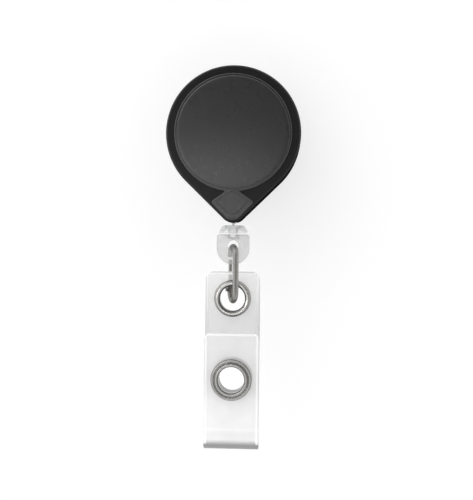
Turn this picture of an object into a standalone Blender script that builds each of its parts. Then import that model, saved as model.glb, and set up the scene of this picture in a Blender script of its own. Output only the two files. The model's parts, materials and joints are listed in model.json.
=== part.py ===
"""Retractable badge reel: a round case with a spring drum, a cord, a snap hook and a vinyl badge strap.

The reel hangs by its belt clip. X is to the right, Z is up and the front faces -Y. The origin is the
point on the case's flat back where the clip is riveted on. Every mesh is drawn in this frame and then
moved back by its joint's position, so its own origin lies on its joint's axis.
"""

import math

import bmesh
import bpy
from mathutils import Matrix, Vector

MM = 0.001
GAP = 0.3 * MM  # between two pieces that touch
RUNNING = 0.1 * MM  # radial play of a piece that turns in another

# Case
CASE_RADIUS = 16.0 * MM
TIP_RADIUS = 2.45 * MM
TIP_Z = -18.95 * MM  # centre of the tip's rounding
WALL = 1.2 * MM
BACK_INNER_Y = -1.6 * MM
SEAM_Y = -3.9 * MM  # the cord's plane, where the two shells meet
FRONT_INNER_Y = -7.2 * MM
RIM_Y = -8.0 * MM
PLATEAU_Y = -8.6 * MM
PLATEAU_RADIUS = 13.85 * MM
FACE_Y = -8.9 * MM
FACE_RADIUS = 13.1 * MM
RECESS_Y = -8.1 * MM
FRONT_EDGE = ((1.0 * MM, 0.0), (0.3 * MM, 0.25 * MM), (0.0, 0.6 * MM))  # depth behind the rim, inset
BACK_EDGE = ((0.0, 0.8 * MM), (0.25 * MM, 0.25 * MM), (1.0 * MM, 0.0))  # depth before the back, inset
MOUTH_CUT = 4 * MM  # length of the bore for the cord guide
RIVET_POCKET = 1.6 * MM
DIAMOND_HALF_WIDTH = 5.1 * MM
DIAMOND_Z = -16.3 * MM
DIAMOND_TOP = -12.75 * MM
DIAMOND_BOTTOM = -21.29 * MM
DIAMOND_TIP_RADIUS = 1.7 * MM
INLAY_INSET = 1.05 * MM

# Drum, spring and cord
ARBOR_RADIUS = 1.9 * MM
ARBOR_SLOT = 0.9 * MM
SOCKET_DEPTH = 0.5 * MM
DRUM_BORE = ARBOR_RADIUS + RUNNING
DRUM_RADIUS = 12.6 * MM
DRUM_BACK_Y = BACK_INNER_Y - GAP
FLANGE = 0.7 * MM
GROOVE = 2.6 * MM
CHAMBER_RADIUS = 7.5 * MM
HUB_RADIUS = 8.5 * MM
SPRING_INNER = 2.5 * MM
SPRING_OUTER = 7.0 * MM
SPRING_TURNS = 7
SPRING_THICKNESS = 0.2 * MM
CORD_RADIUS = 0.3 * MM
WINDING_RADIUS = 11.4 * MM

# Cord end: a clear collar and a frosted tag on a white swivel barrel
MOUTH_Z = TIP_Z - TIP_RADIUS
GUIDE_RADIUS = 0.95 * MM
CORD_BORE = 0.62 * MM
GUIDE_TOP_Z = -19.8 * MM
COLLAR_RADIUS = 3.45 * MM
COLLAR_TOP_Z = MOUTH_Z - 0.35 * MM
COLLAR_BOTTOM_Z = -23.6 * MM
BARREL_RADIUS = 1.1 * MM
BARREL_FLANGE = 1.7 * MM
SPIGOT_RADIUS = 0.95 * MM
SPIGOT_END_Z = -24.6 * MM
KNOT_RADIUS = 0.45 * MM
KNOT_TOP_Z = -23.6 * MM
KNOT_BOTTOM_Z = -24.4 * MM
TAG_TOP_Z = COLLAR_BOTTOM_Z - GAP
TAG_Z = -27.15 * MM
TAG_RADIUS = 3.95 * MM
TAG_THICKNESS = 1.3 * MM
EYE_Z = -26.6 * MM
EYE_RADIUS = 1.3 * MM

# Hook
HOOK_TOP_Z = -26.85 * MM  # centre line of the wire where it passes through the tag
HOOK_BOTTOM_Z = -39.75 * MM
HOOK_BEND = 2.4 * MM  # height of each bend
HOOK_HALF_DEPTH = 3.2 * MM  # from the middle to the front or rear strand
HOOK_WIRE = 0.65 * MM
HOOK_TURN = math.radians(15)
NOSE_Z = -29.6 * MM
GATE_Z = -36.4 * MM
GATE_TOP_Z = -29.95 * MM
GATE_WIRE = 0.42 * MM
KNUCKLE_RADIUS = 0.75 * MM
KNUCKLE_HALF_WIDTH = 0.5 * MM
CHEEK_RADIUS = 0.85 * MM
CHEEK_OUTER_X = 1.1 * MM
CHEEK_INNER_X = 0.8 * MM
CHEEK_HALF_DEPTH = 0.6 * MM
BRIDGE = 0.35 * MM  # height of the bar that joins the cheeks
GATE_PIN = 0.3 * MM
PIN_HEAD = 0.25 * MM

# Strap
STRAP_HALF_WIDTH = 6.55 * MM
STRAP_THICKNESS = 0.8 * MM
STRAP_CORNER = 1.9 * MM
STRAP_TOP_Z = -32.8 * MM
STRAP_BOTTOM_Z = -74.6 * MM
FOLD_RADIUS = 1.4 * MM
FLAP_TOP_Z = -47.2 * MM
FLAP_START_Z = -71.9 * MM
FLAP_PIVOT_Z = -72.3 * MM
EYELET_Z = -39.2 * MM
EYELET_HOLE = 3.0 * MM
EYELET_RADIUS = 4.4 * MM
SNAP_Z = -58.3 * MM
SNAP_HOLE = 3.1 * MM
SNAP_RADIUS = 4.9 * MM
TUBE_WALL = 0.3 * MM
RING_PLATE = 0.5 * MM
SNAP_PLATE = 0.7 * MM
SNAP_INNER_RADIUS = 4.7 * MM  # of the two pieces between the strap's legs
STUD_LENGTH = 0.65 * MM
FOLD_TURN = math.radians(150)  # how far round the fold the back leg goes

# Belt clip
CLIP_HALF_WIDTH = 5.5 * MM
CLIP_THICKNESS = 0.7 * MM
CLIP_BASE_Y = 1.35 * MM
CLIP_BEND = 3.0 * MM
CLIP_BEND_Z = 11.15 * MM
CLIP_BASE_Z = -8.0 * MM
CLIP_TONGUE_Z = -9.5 * MM
CLIP_LIP = 3.2 * MM
CLIP_CORNER = 2.2 * MM
RIVET_RADIUS = 1.2 * MM
RIVET_HEAD = 2.2 * MM
RIVET_BORE = 0.7 * MM
RIVET_ACCESS = 2.7 * MM
RIVET_PLATE = 0.4 * MM  # thickness of each head
RIVET_INNER_Y = -1.1 * MM
WASHER_RADIUS = 3.5 * MM
CLIP_LIP_TURN = math.radians(55)
CLIP_NARROWING = 1.6 * MM  # of the lip, on each side

# Facets of round pieces
ROUND = 64
MEDIUM = 40
SMALL = 20
TIP_STEPS = 8
CORNER_STEPS = 5
FOLD_STEPS = 8

CORD_LINE = Vector((0, SEAM_Y, 0))
FLAP_Y = SEAM_Y - 2 * FOLD_RADIUS
FOLD_Z = STRAP_BOTTOM_Z + STRAP_THICKNESS / 2 + FOLD_RADIUS


def clear_scene():
    for item in list(bpy.data.objects):
        bpy.data.objects.remove(item, do_unlink=True)


def material(name, color, roughness, metallic=0.0, alpha=1.0):
    made = bpy.data.materials.new(name)
    made.use_nodes = True
    shader = made.node_tree.nodes["Principled BSDF"]
    shader.inputs["Base Color"].default_value = (*color, 1.0)
    shader.inputs["Roughness"].default_value = roughness
    shader.inputs["Metallic"].default_value = metallic
    shader.inputs["Alpha"].default_value = alpha
    return made


def joint(name, position, parent=None, turn=0.0):
    """An empty on a joint's axis. Its position is given in the reel's frame."""
    empty = bpy.data.objects.new(name, None)
    bpy.context.collection.objects.link(empty)
    empty["at"] = tuple(position)
    empty.location = Vector(position) - (Vector(parent["at"]) if parent else Vector())
    empty.rotation_euler.z = turn
    empty.parent = parent
    return empty


def add(name, bm, look, pivot):
    """Make a node of a mesh drawn in the reel's frame, with its origin on its joint's axis."""
    bmesh.ops.recalc_face_normals(bm, faces=bm.faces)
    bm.transform(Matrix.Translation(-Vector(pivot["at"])))
    mesh = bpy.data.meshes.new(name)
    bm.to_mesh(mesh)
    bm.free()
    mesh.shade_smooth()
    mesh.set_sharp_from_angle(angle=math.radians(35))
    item = bpy.data.objects.new(name, mesh)
    bpy.context.collection.objects.link(item)
    item.parent = pivot
    if look:
        mesh.materials.append(look)
    return item


def combine(item, tool, operation, solver="EXACT"):
    """Unite a node with another shape, or cut it away. MANIFOLD is for a cut that EXACT leaves open."""
    tool.hide_render = True
    tool.display_type = "WIRE"
    modifier = item.modifiers.new(operation.title(), "BOOLEAN")
    modifier.operation = operation
    modifier.solver = solver
    modifier.object = tool


def turned(profile, axis, steps, centre=(0, 0, 0)):
    """Turn a profile of (radius, height) points about an axis through centre.

    A profile that starts and ends on the axis makes a solid, and any other is closed into a ring.
    """
    bm = bmesh.new()
    along = Vector(axis)
    verts = [bm.verts.new(Vector((radius, 0, 0)) + along * height) for radius, height in profile]
    pairs = list(zip(verts, verts[1:]))
    if profile[0][0] > 0:
        pairs.append((verts[-1], verts[0]))
    edges = [bm.edges.new(pair) for pair in pairs]
    bmesh.ops.spin(bm, geom=verts + edges, cent=(0, 0, 0), axis=along, angle=math.tau, steps=steps)
    bmesh.ops.remove_doubles(bm, verts=bm.verts, dist=1e-6)
    bm.transform(Matrix.Translation(centre))
    return bm


def teardrop(inset):
    """The case's outline, moved in by inset: a circle and a small tip circle with common tangents."""
    radius = CASE_RADIUS - inset
    tip = TIP_RADIUS - inset
    slope = math.asin((CASE_RADIUS - TIP_RADIUS) / -TIP_Z)
    points = []
    for i in range(ROUND + 1):
        angle = -slope + (math.pi + 2 * slope) * i / ROUND
        points.append((radius * math.cos(angle), radius * math.sin(angle)))
    for i in range(TIP_STEPS + 1):
        angle = math.pi + slope + (math.pi - 2 * slope) * i / TIP_STEPS
        points.append((tip * math.cos(angle), TIP_Z + tip * math.sin(angle)))
    return points


def rounded_polygon(corners):
    """A convex outline of (x, z, radius) corners, each rounded by an arc."""
    points = []
    count = len(corners)
    for i, (x, z, radius) in enumerate(corners):
        here = Vector((x, z))
        before = (Vector(corners[i - 1][:2]) - here).normalized()
        after = (Vector(corners[(i + 1) % count][:2]) - here).normalized()
        half = before.angle(after) / 2
        centre = here + (before + after).normalized() * radius / math.sin(half)
        start = here + before * radius / math.tan(half) - centre
        swing = start.angle_signed(here + after * radius / math.tan(half) - centre)
        for step in range(CORNER_STEPS + 1):
            points.append(tuple(centre + Matrix.Rotation(-swing * step / CORNER_STEPS, 2) @ start))
    return points


def loft(sections):
    """Join outlines of equally many (x, z) points, each at its own y, and close both ends."""
    bm = bmesh.new()
    rings = [[bm.verts.new((x, y, z)) for x, z in outline] for y, outline in sections]
    for low, high in zip(rings, rings[1:]):
        for i in range(len(low)):
            bm.faces.new((low[i - 1], low[i], high[i], high[i - 1]))
    bm.faces.new(rings[0])
    bm.faces.new(rings[-1])
    return bm


def prism(outline, y_from, y_to):
    return loft([(y_from, outline), (y_to, outline)])


def box(low, high):
    bm = bmesh.new()
    size = Vector(high) - Vector(low)
    bmesh.ops.create_cube(bm, size=1.0, matrix=Matrix.Diagonal((*size, 1)))
    bm.transform(Matrix.Translation((Vector(high) + Vector(low)) / 2))
    return bm


def rod(radius, centre, axis, length, steps=SMALL):
    """A cylinder centred on a point."""
    half = length / 2
    profile = [(0, -half), (radius, -half), (radius, half), (0, half)]
    if abs(axis[0]) > 0:
        bm = turned(profile, (0, 0, 1), steps)
        bm.transform(Matrix.Rotation(math.pi / 2, 4, "Y"))
        bm.transform(Matrix.Translation(centre))
        return bm
    return turned(profile, axis, steps, centre)


def tube(name, points, radius, look, pivot):
    """A cord along points in the reel's frame, as a bevelled curve with closed ends."""
    curve = bpy.data.curves.new(name, "CURVE")
    curve.dimensions = "3D"
    curve.bevel_depth = radius
    curve.bevel_resolution = 2
    curve.use_fill_caps = True
    curve.twist_mode = "MINIMUM"
    spline = curve.splines.new("POLY")
    spline.points.add(len(points) - 1)
    for place, point in zip(spline.points, points):
        place.co = (*(Vector(point) - Vector(pivot["at"])), 1)
    item = bpy.data.objects.new(name, curve)
    bpy.context.collection.objects.link(item)
    item.parent = pivot
    curve.materials.append(look)
    return item


def wire(points, radius, sides=12):
    """A round wire bent in the YZ plane, with closed ends."""
    bm = bmesh.new()
    across = Vector((1, 0, 0))
    rings = []
    for i, point in enumerate(points):
        here = Vector(point)
        ahead = Vector(points[min(i + 1, len(points) - 1)])
        behind = Vector(points[max(i - 1, 0)])
        side = (ahead - behind).normalized().cross(across)
        corners = []
        for step in range(sides):
            angle = math.tau * step / sides
            out = across * math.cos(angle) + side * math.sin(angle)
            corners.append(bm.verts.new(here + radius * out))
        rings.append(corners)
    for low, high in zip(rings, rings[1:]):
        for i in range(sides):
            bm.faces.new((low[i - 1], low[i], high[i], high[i - 1]))
    bm.faces.new(rings[0])
    bm.faces.new(rings[-1])
    return bm


def ribbon(name, stations, thickness, look, pivot):
    """A strip across X, given as (y, z, half width) stations along its middle surface."""
    bm = bmesh.new()
    rows = [[bm.verts.new((side * half, y, z)) for side in (-1, 1)] for y, z, half in stations]
    for low, high in zip(rows, rows[1:]):
        bm.faces.new((low[0], low[1], high[1], high[0]))
    item = add(name, bm, look, pivot)
    solid = item.modifiers.new("Thickness", "SOLIDIFY")
    solid.thickness = thickness
    solid.offset = 0
    return item


def rounded_end(half_width, corner, z_end, y, inward):
    """Stations of a strip's end with round corners, from its end edge inwards along Z."""
    stations = []
    for step in range(CORNER_STEPS + 1):
        angle = math.pi / 2 * step / CORNER_STEPS
        along = corner * (1 - math.cos(angle))
        stations.append((y, z_end + inward * along, half_width - corner + corner * math.sin(angle)))
    return stations


def ring(name, inner, outer, y_from, y_to, look, pivot, z=0.0, steps=MEDIUM):
    profile = [(inner, y_from), (outer, y_from), (outer, y_to), (inner, y_to)]
    return add(name, turned(profile, (0, 1, 0), steps, (0, 0, z)), look, pivot)


def diamond(inset):
    """The pointed field at the case's tip, moved in by inset."""
    shrink = 1 - inset / (DIAMOND_HALF_WIDTH * math.cos(math.radians(45)))
    middle = DIAMOND_Z
    corners = [
        (0, middle + (DIAMOND_TOP - middle) * shrink, 0.9 * MM),
        (DIAMOND_HALF_WIDTH * shrink, middle, 0.6 * MM),
        (0, middle + (DIAMOND_BOTTOM - middle) * shrink, DIAMOND_TIP_RADIUS - inset / 2),
        (-DIAMOND_HALF_WIDTH * shrink, middle, 0.6 * MM),
    ]
    return rounded_polygon(corners)


def make_case(looks, case):
    """Both shells, the round face plate and the pointed inlay."""
    front = loft(
        [
            (FRONT_INNER_Y, teardrop(WALL)),
            (SEAM_Y - GAP / 2, teardrop(WALL)),
            (SEAM_Y - GAP / 2, teardrop(0)),
        ]
        + [(RIM_Y + depth, teardrop(inset)) for depth, inset in FRONT_EDGE]
    )
    front_shell = add("front_shell", front, looks["shell"], case)
    disc = rod(PLATEAU_RADIUS, (0, (RIM_Y + PLATEAU_Y) / 2 + 0.1 * MM, 0), (0, 1, 0), 0.8 * MM, ROUND)
    combine(front_shell, add("plateau_disc", disc, None, case), "UNION")
    field = prism(diamond(0), RIM_Y + 0.25 * MM, PLATEAU_Y)
    combine(front_shell, add("plateau_diamond", field, None, case), "UNION")
    recess = rod(FACE_RADIUS + GAP, (0, RECESS_Y - 0.5 * MM, 0), (0, 1, 0), 1.0 * MM, ROUND)
    combine(front_shell, add("face_recess", recess, None, case), "DIFFERENCE")
    recess = prism(diamond(INLAY_INSET - GAP), RECESS_Y, RECESS_Y - 1.0 * MM)
    combine(front_shell, add("inlay_recess", recess, None, case), "DIFFERENCE")
    socket = rod(ARBOR_RADIUS + GAP, (0, FRONT_INNER_Y, 0), (0, 1, 0), 2 * SOCKET_DEPTH)
    combine(front_shell, add("arbor_socket", socket, None, case), "DIFFERENCE", "MANIFOLD")

    rear = loft(
        [(-depth, teardrop(inset)) for depth, inset in BACK_EDGE]
        + [
            (SEAM_Y + GAP / 2, teardrop(0)),
            (SEAM_Y + GAP / 2, teardrop(WALL)),
            (BACK_INNER_Y, teardrop(WALL)),
        ]
    )
    rear_shell = add("rear_shell", rear, looks["shell"], case)
    hole = rod(RIVET_RADIUS + GAP, (0, 0, 0), (0, 1, 0), -2 * SEAM_Y)
    combine(rear_shell, add("rivet_hole", hole, None, case), "DIFFERENCE")
    counterbore = rod(RIVET_HEAD + GAP, (0, BACK_INNER_Y, 0), (0, 1, 0), RIVET_POCKET)
    combine(rear_shell, add("rivet_counterbore", counterbore, None, case), "DIFFERENCE")

    mouth = rod(GUIDE_RADIUS + GAP, CORD_LINE + Vector((0, 0, MOUTH_Z)), (0, 0, 1), MOUTH_CUT)
    mouth_cutter = add("mouth", mouth, None, case)
    combine(front_shell, mouth_cutter, "DIFFERENCE", "MANIFOLD")
    combine(rear_shell, mouth_cutter, "DIFFERENCE")

    edge = 0.2 * MM
    back = RECESS_Y - GAP
    plate = [
        (0, back),
        (FACE_RADIUS, back),
        (FACE_RADIUS, FACE_Y + edge),
        (FACE_RADIUS - edge, FACE_Y),
        (0, FACE_Y),
    ]
    add("face_plate", turned(plate, (0, 1, 0), ROUND), looks["face"], case)
    inlay_y = FACE_Y + 0.1 * MM
    add("tip_inlay", prism(diamond(INLAY_INSET), back, inlay_y), looks["face"], case)


def make_arbor_and_guide(looks, case):
    """The fixed post that the spring winds on, and the bush that the cord leaves through."""
    low = FRONT_INNER_Y - SOCKET_DEPTH + GAP
    length = DRUM_BACK_Y - low
    middle = (DRUM_BACK_Y + low) / 2
    arbor = add("spring_arbor", rod(ARBOR_RADIUS, (0, middle, 0), (0, 1, 0), length), looks["drum"], case)
    half = ARBOR_SLOT / 2
    slot_end = DRUM_BACK_Y - FLANGE - GROOVE - FLANGE
    slot = box((-4 * MM, slot_end, -half), (4 * MM, 0, half))
    combine(arbor, add("arbor_slot", slot, None, case), "DIFFERENCE")

    flare = 0.2 * MM
    bush = [
        (CORD_BORE, GUIDE_TOP_Z - flare),
        (CORD_BORE + flare, GUIDE_TOP_Z),
        (GUIDE_RADIUS, GUIDE_TOP_Z),
        (GUIDE_RADIUS, MOUTH_Z),
        (CORD_BORE + flare, MOUTH_Z),
        (CORD_BORE, MOUTH_Z + flare),
    ]
    add("cord_guide", turned(bush, (0, 0, 1), SMALL, CORD_LINE), looks["white"], case)


def make_drum(looks, drum):
    """The spool with its spring chamber, the chamber's cover, the power spring and the wound cord."""
    back = DRUM_BACK_Y
    groove_back = back - FLANGE
    groove_front = groove_back - GROOVE
    front = groove_front - FLANGE
    spool = [
        (DRUM_BORE, back),
        (DRUM_RADIUS, back),
        (DRUM_RADIUS, groove_back),
        (HUB_RADIUS, groove_back),
        (HUB_RADIUS, groove_front),
        (DRUM_RADIUS, groove_front),
        (DRUM_RADIUS, front),
        (CHAMBER_RADIUS, front),
        (CHAMBER_RADIUS, groove_back),
        (DRUM_BORE, groove_back),
    ]
    add("drum", turned(spool, (0, 1, 0), MEDIUM), looks["drum"], drum)
    cover_y = front - GAP
    ring("drum_cover", DRUM_BORE, HUB_RADIUS, cover_y, cover_y - 0.55 * MM, looks["drum"], drum)
    inner = HUB_RADIUS + GAP
    ring("cord_winding", inner, WINDING_RADIUS, groove_back - GAP, groove_front + GAP, looks["cord"], drum)

    y_from = groove_back - GAP
    y_to = front + GAP
    path = [(-ARBOR_RADIUS * 0.7, 0), (ARBOR_RADIUS * 0.7, 0)]
    steps = 18 * SPRING_TURNS
    for i in range(steps + 1):
        angle = math.tau * SPRING_TURNS * i / steps
        radius = SPRING_INNER + (SPRING_OUTER - SPRING_INNER) * i / steps
        path.append((radius * math.cos(angle), radius * math.sin(angle)))
    bm = bmesh.new()
    rows = [[bm.verts.new((x, y, z)) for y in (y_from, y_to)] for x, z in path]
    for low, high in zip(rows, rows[1:]):
        bm.faces.new((low[0], low[1], high[1], high[0]))
    spring = add("power_spring", bm, looks["spring"], drum)
    solid = spring.modifiers.new("Thickness", "SOLIDIFY")
    solid.thickness = SPRING_THICKNESS
    solid.offset = 0


def make_cord(looks, case, pull):
    """The cord from the winding to the mouth, its end in the barrel, and the knot that holds it."""
    leave = WINDING_RADIUS + CORD_RADIUS + GAP
    entry = GUIDE_TOP_Z + 0.6 * MM
    lean = math.acos(leave / -entry)
    start = Vector((leave * math.sin(lean), SEAM_Y, -leave * math.cos(lean)))
    turn = Vector((0, SEAM_Y, entry))
    end = Vector((0, SEAM_Y, MOUTH_Z + 0.05 * MM))
    bend = 0.8 * MM
    before = turn + (start - turn).normalized() * bend
    after = turn + (end - turn).normalized() * bend
    route = [start, start.lerp(before, 0.5)]
    for step in range(CORNER_STEPS + 1):
        t = step / CORNER_STEPS
        route.append(before * (1 - t) ** 2 + turn * 2 * t * (1 - t) + after * t**2)
    route.append(end)
    tube("cord_lead", route, CORD_RADIUS, looks["cord"], case)
    stub = [CORD_LINE + Vector((0, 0, z)) for z in (MOUTH_Z - GAP, KNOT_TOP_Z + GAP)]
    tube("cord_end", stub, CORD_RADIUS, looks["cord"], pull)
    middle = (KNOT_TOP_Z + KNOT_BOTTOM_Z) / 2
    knot = [
        (0, KNOT_BOTTOM_Z),
        (KNOT_RADIUS * 0.7, KNOT_BOTTOM_Z),
        (KNOT_RADIUS, middle),
        (KNOT_RADIUS * 0.7, KNOT_TOP_Z),
        (0, KNOT_TOP_Z),
    ]
    add("cord_knot", turned(knot, (0, 0, 1), SMALL, CORD_LINE), looks["cord"], pull)


def make_fitting(looks, pull, tag):
    """The clear collar, and the swivel barrel with the frosted tag that turn in it."""
    bore = BARREL_RADIUS + RUNNING
    flange_bottom = COLLAR_TOP_Z - 0.35 * MM
    recess = BARREL_FLANGE + GAP
    shelf = flange_bottom - GAP
    edge = 0.3 * MM
    collar = [
        (bore, shelf),
        (recess, shelf),
        (recess + 0.2 * MM, COLLAR_TOP_Z),
        (COLLAR_RADIUS - edge, COLLAR_TOP_Z),
        (COLLAR_RADIUS, COLLAR_TOP_Z - edge),
        (COLLAR_RADIUS, COLLAR_BOTTOM_Z + edge),
        (COLLAR_RADIUS - edge, COLLAR_BOTTOM_Z),
        (bore, COLLAR_BOTTOM_Z),
    ]
    add("stop_collar", turned(collar, (0, 0, 1), SMALL, CORD_LINE), looks["clear"], pull)

    chamber = KNOT_RADIUS + GAP
    barrel = [
        (CORD_BORE, COLLAR_TOP_Z),
        (BARREL_FLANGE, COLLAR_TOP_Z),
        (BARREL_FLANGE, flange_bottom),
        (BARREL_RADIUS, flange_bottom),
        (BARREL_RADIUS, COLLAR_BOTTOM_Z),
        (SPIGOT_RADIUS, COLLAR_BOTTOM_Z),
        (SPIGOT_RADIUS, SPIGOT_END_Z),
        (chamber, SPIGOT_END_Z),
        (chamber, KNOT_TOP_Z + GAP),
        (CORD_BORE, KNOT_TOP_Z + GAP),
    ]
    add("swivel_barrel", turned(barrel, (0, 0, 1), SMALL, CORD_LINE), looks["white"], tag)

    outline = []
    for i in range(SMALL + 1):
        angle = math.pi + math.pi * i / SMALL
        outline.append((TAG_RADIUS * math.cos(angle), TAG_Z + TAG_RADIUS * math.sin(angle)))
    chamfer = 0.5 * MM
    outline += [(TAG_RADIUS, TAG_TOP_Z - chamfer), (TAG_RADIUS - chamfer, TAG_TOP_Z)]
    outline += [(chamfer - TAG_RADIUS, TAG_TOP_Z), (-TAG_RADIUS, TAG_TOP_Z - chamfer)]
    half = TAG_THICKNESS / 2
    eye_tag = add("eye_tag", prism(outline, SEAM_Y - half, SEAM_Y + half), looks["frosted"], tag)
    boss_bottom = SPIGOT_END_Z - 0.5 * MM
    boss_at = CORD_LINE + Vector((0, 0, (TAG_TOP_Z + boss_bottom) / 2))
    boss = rod(SPIGOT_RADIUS + 0.65 * MM, boss_at, (0, 0, 1), TAG_TOP_Z - boss_bottom)
    combine(eye_tag, add("tag_boss", boss, None, tag), "UNION")
    socket_at = CORD_LINE + Vector((0, 0, TAG_TOP_Z))
    depth = TAG_TOP_Z - SPIGOT_END_Z + GAP
    socket = rod(SPIGOT_RADIUS + GAP, socket_at, (0, 0, 1), 2 * depth)
    combine(eye_tag, add("tag_socket", socket, None, tag), "DIFFERENCE")
    eye = rod(EYE_RADIUS, CORD_LINE + Vector((0, 0, EYE_Z)), (0, 1, 0), 8 * MM)
    combine(eye_tag, add("tag_eye", eye, None, tag), "DIFFERENCE", "MANIFOLD")


def make_hook(looks, hook, gate):
    """A wire snap hook: it hangs in the tag's eye, holds the strap's eyelet and has a sprung gate."""
    top = HOOK_TOP_Z - HOOK_BEND
    bottom = HOOK_BOTTOM_Z + HOOK_BEND
    stub_z = GATE_Z - CHEEK_RADIUS - 0.1 * MM
    rear = SEAM_Y + HOOK_HALF_DEPTH
    route = [(0, rear, NOSE_Z)]
    for centre, first in ((top, 0.0), (bottom, math.pi)):
        for step in range(2 * FOLD_STEPS + 1):
            angle = first + math.pi * step / (2 * FOLD_STEPS)
            y = SEAM_Y + HOOK_HALF_DEPTH * math.cos(angle)
            route.append((0, y, centre + HOOK_BEND * math.sin(angle)))
    hook_body = add("hook_body", wire(route, HOOK_WIRE), looks["nickel"], hook)

    for side in (-1, 1):
        x = side * (CHEEK_INNER_X + CHEEK_OUTER_X) / 2
        cheek = rod(CHEEK_RADIUS, (x, rear, GATE_Z), (1, 0, 0), CHEEK_OUTER_X - CHEEK_INNER_X, SMALL)
        combine(hook_body, add(f"cheek_{side}", cheek, None, hook), "UNION")
        near = side * CHEEK_INNER_X
        far = side * CHEEK_OUTER_X
        low = (min(near, far), rear - CHEEK_HALF_DEPTH, stub_z - GAP)
        high = (max(near, far), rear + CHEEK_HALF_DEPTH, GATE_Z)
        combine(hook_body, add(f"cheek_leg_{side}", box(low, high), None, hook), "UNION")
    bridge_low = (-CHEEK_OUTER_X, rear - CHEEK_HALF_DEPTH, stub_z - BRIDGE)
    bridge_high = (CHEEK_OUTER_X, rear + CHEEK_HALF_DEPTH, stub_z)
    combine(hook_body, add("cheek_bridge", box(bridge_low, bridge_high), None, hook), "UNION")
    pin_hole = rod(GATE_PIN + RUNNING, (0, rear, GATE_Z), (1, 0, 0), 4 * MM, SMALL)
    combine(hook_body, add("pin_hole", pin_hole, None, hook), "DIFFERENCE")

    head = CHEEK_OUTER_X + 0.1 * MM
    pin = [
        (0, -head - PIN_HEAD),
        (GATE_PIN * 2, -head - PIN_HEAD),
        (GATE_PIN * 2, -head),
        (GATE_PIN, -head),
        (GATE_PIN, head),
        (GATE_PIN * 2, head),
        (GATE_PIN * 2, head + PIN_HEAD),
        (0, head + PIN_HEAD),
    ]
    bm = turned(pin, (0, 0, 1), SMALL)
    bm.transform(Matrix.Rotation(math.pi / 2, 4, "Y"))
    bm.transform(Matrix.Translation((0, rear, GATE_Z)))
    add("gate_rivet", bm, looks["nickel"], hook)

    knuckle = rod(KNUCKLE_RADIUS, (0, rear, GATE_Z), (1, 0, 0), 2 * KNUCKLE_HALF_WIDTH, SMALL)
    hook_gate = add("hook_gate", knuckle, looks["nickel"], gate)
    reach = GATE_TOP_Z - GATE_Z
    arm = rod(GATE_WIRE, (0, rear, GATE_Z + reach / 2), (0, 0, 1), reach)
    combine(hook_gate, add("gate_arm", arm, None, gate), "UNION")
    hole = rod(GATE_PIN + RUNNING, (0, rear, GATE_Z), (1, 0, 0), 4 * MM, SMALL)
    combine(hook_gate, add("gate_hole", hole, None, gate), "DIFFERENCE")


def make_strap(looks, strap, flap):
    """The vinyl strap: a back leg with the fold, and the front flap that the snap closes on it."""
    stations = rounded_end(STRAP_HALF_WIDTH, STRAP_CORNER, STRAP_TOP_Z, SEAM_Y, -1)
    stations.append((SEAM_Y, (STRAP_TOP_Z + FOLD_Z) / 2, STRAP_HALF_WIDTH))
    for step in range(FOLD_STEPS + 1):
        angle = FOLD_TURN * step / FOLD_STEPS
        y = SEAM_Y - FOLD_RADIUS + FOLD_RADIUS * math.cos(angle)
        stations.append((y, FOLD_Z - FOLD_RADIUS * math.sin(angle), STRAP_HALF_WIDTH))
    strap_back = ribbon("strap_back", stations, STRAP_THICKNESS, looks["vinyl"], strap)
    stations = rounded_end(STRAP_HALF_WIDTH, STRAP_CORNER, FLAP_TOP_Z, FLAP_Y, -1)
    stations.append((FLAP_Y, FLAP_START_Z, STRAP_HALF_WIDTH))
    strap_flap = ribbon("strap_flap", stations, STRAP_THICKNESS, looks["vinyl"], flap)

    snap_cut = SNAP_HOLE + TUBE_WALL + GAP
    eyelet_cut = EYELET_HOLE + TUBE_WALL + GAP
    hole = rod(eyelet_cut, (0, SEAM_Y, EYELET_Z), (0, 1, 0), 3 * MM, MEDIUM)
    combine(strap_back, add("eyelet_cut", hole, None, strap), "DIFFERENCE")
    hole = rod(snap_cut, (0, SEAM_Y, SNAP_Z), (0, 1, 0), 3 * MM, MEDIUM)
    combine(strap_back, add("stud_cut", hole, None, strap), "DIFFERENCE")
    hole = rod(snap_cut, (0, FLAP_Y, SNAP_Z), (0, 1, 0), 3 * MM, MEDIUM)
    combine(strap_flap, add("socket_cut", hole, None, flap), "DIFFERENCE")


def tubed_ring(name, sizes, plate_y, plate_end_y, tube_end_y, z, look, pivot):
    """A flat ring with a short tube around its hole, as an eyelet or one half of a snap."""
    hole, outer = sizes
    wall = hole + TUBE_WALL
    profile = [
        (hole, plate_end_y),
        (outer, plate_end_y),
        (outer, plate_y),
        (wall, plate_y),
        (wall, tube_end_y),
        (hole, tube_end_y),
    ]
    return add(name, turned(profile, (0, 1, 0), MEDIUM, (0, 0, z)), look, pivot)


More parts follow.
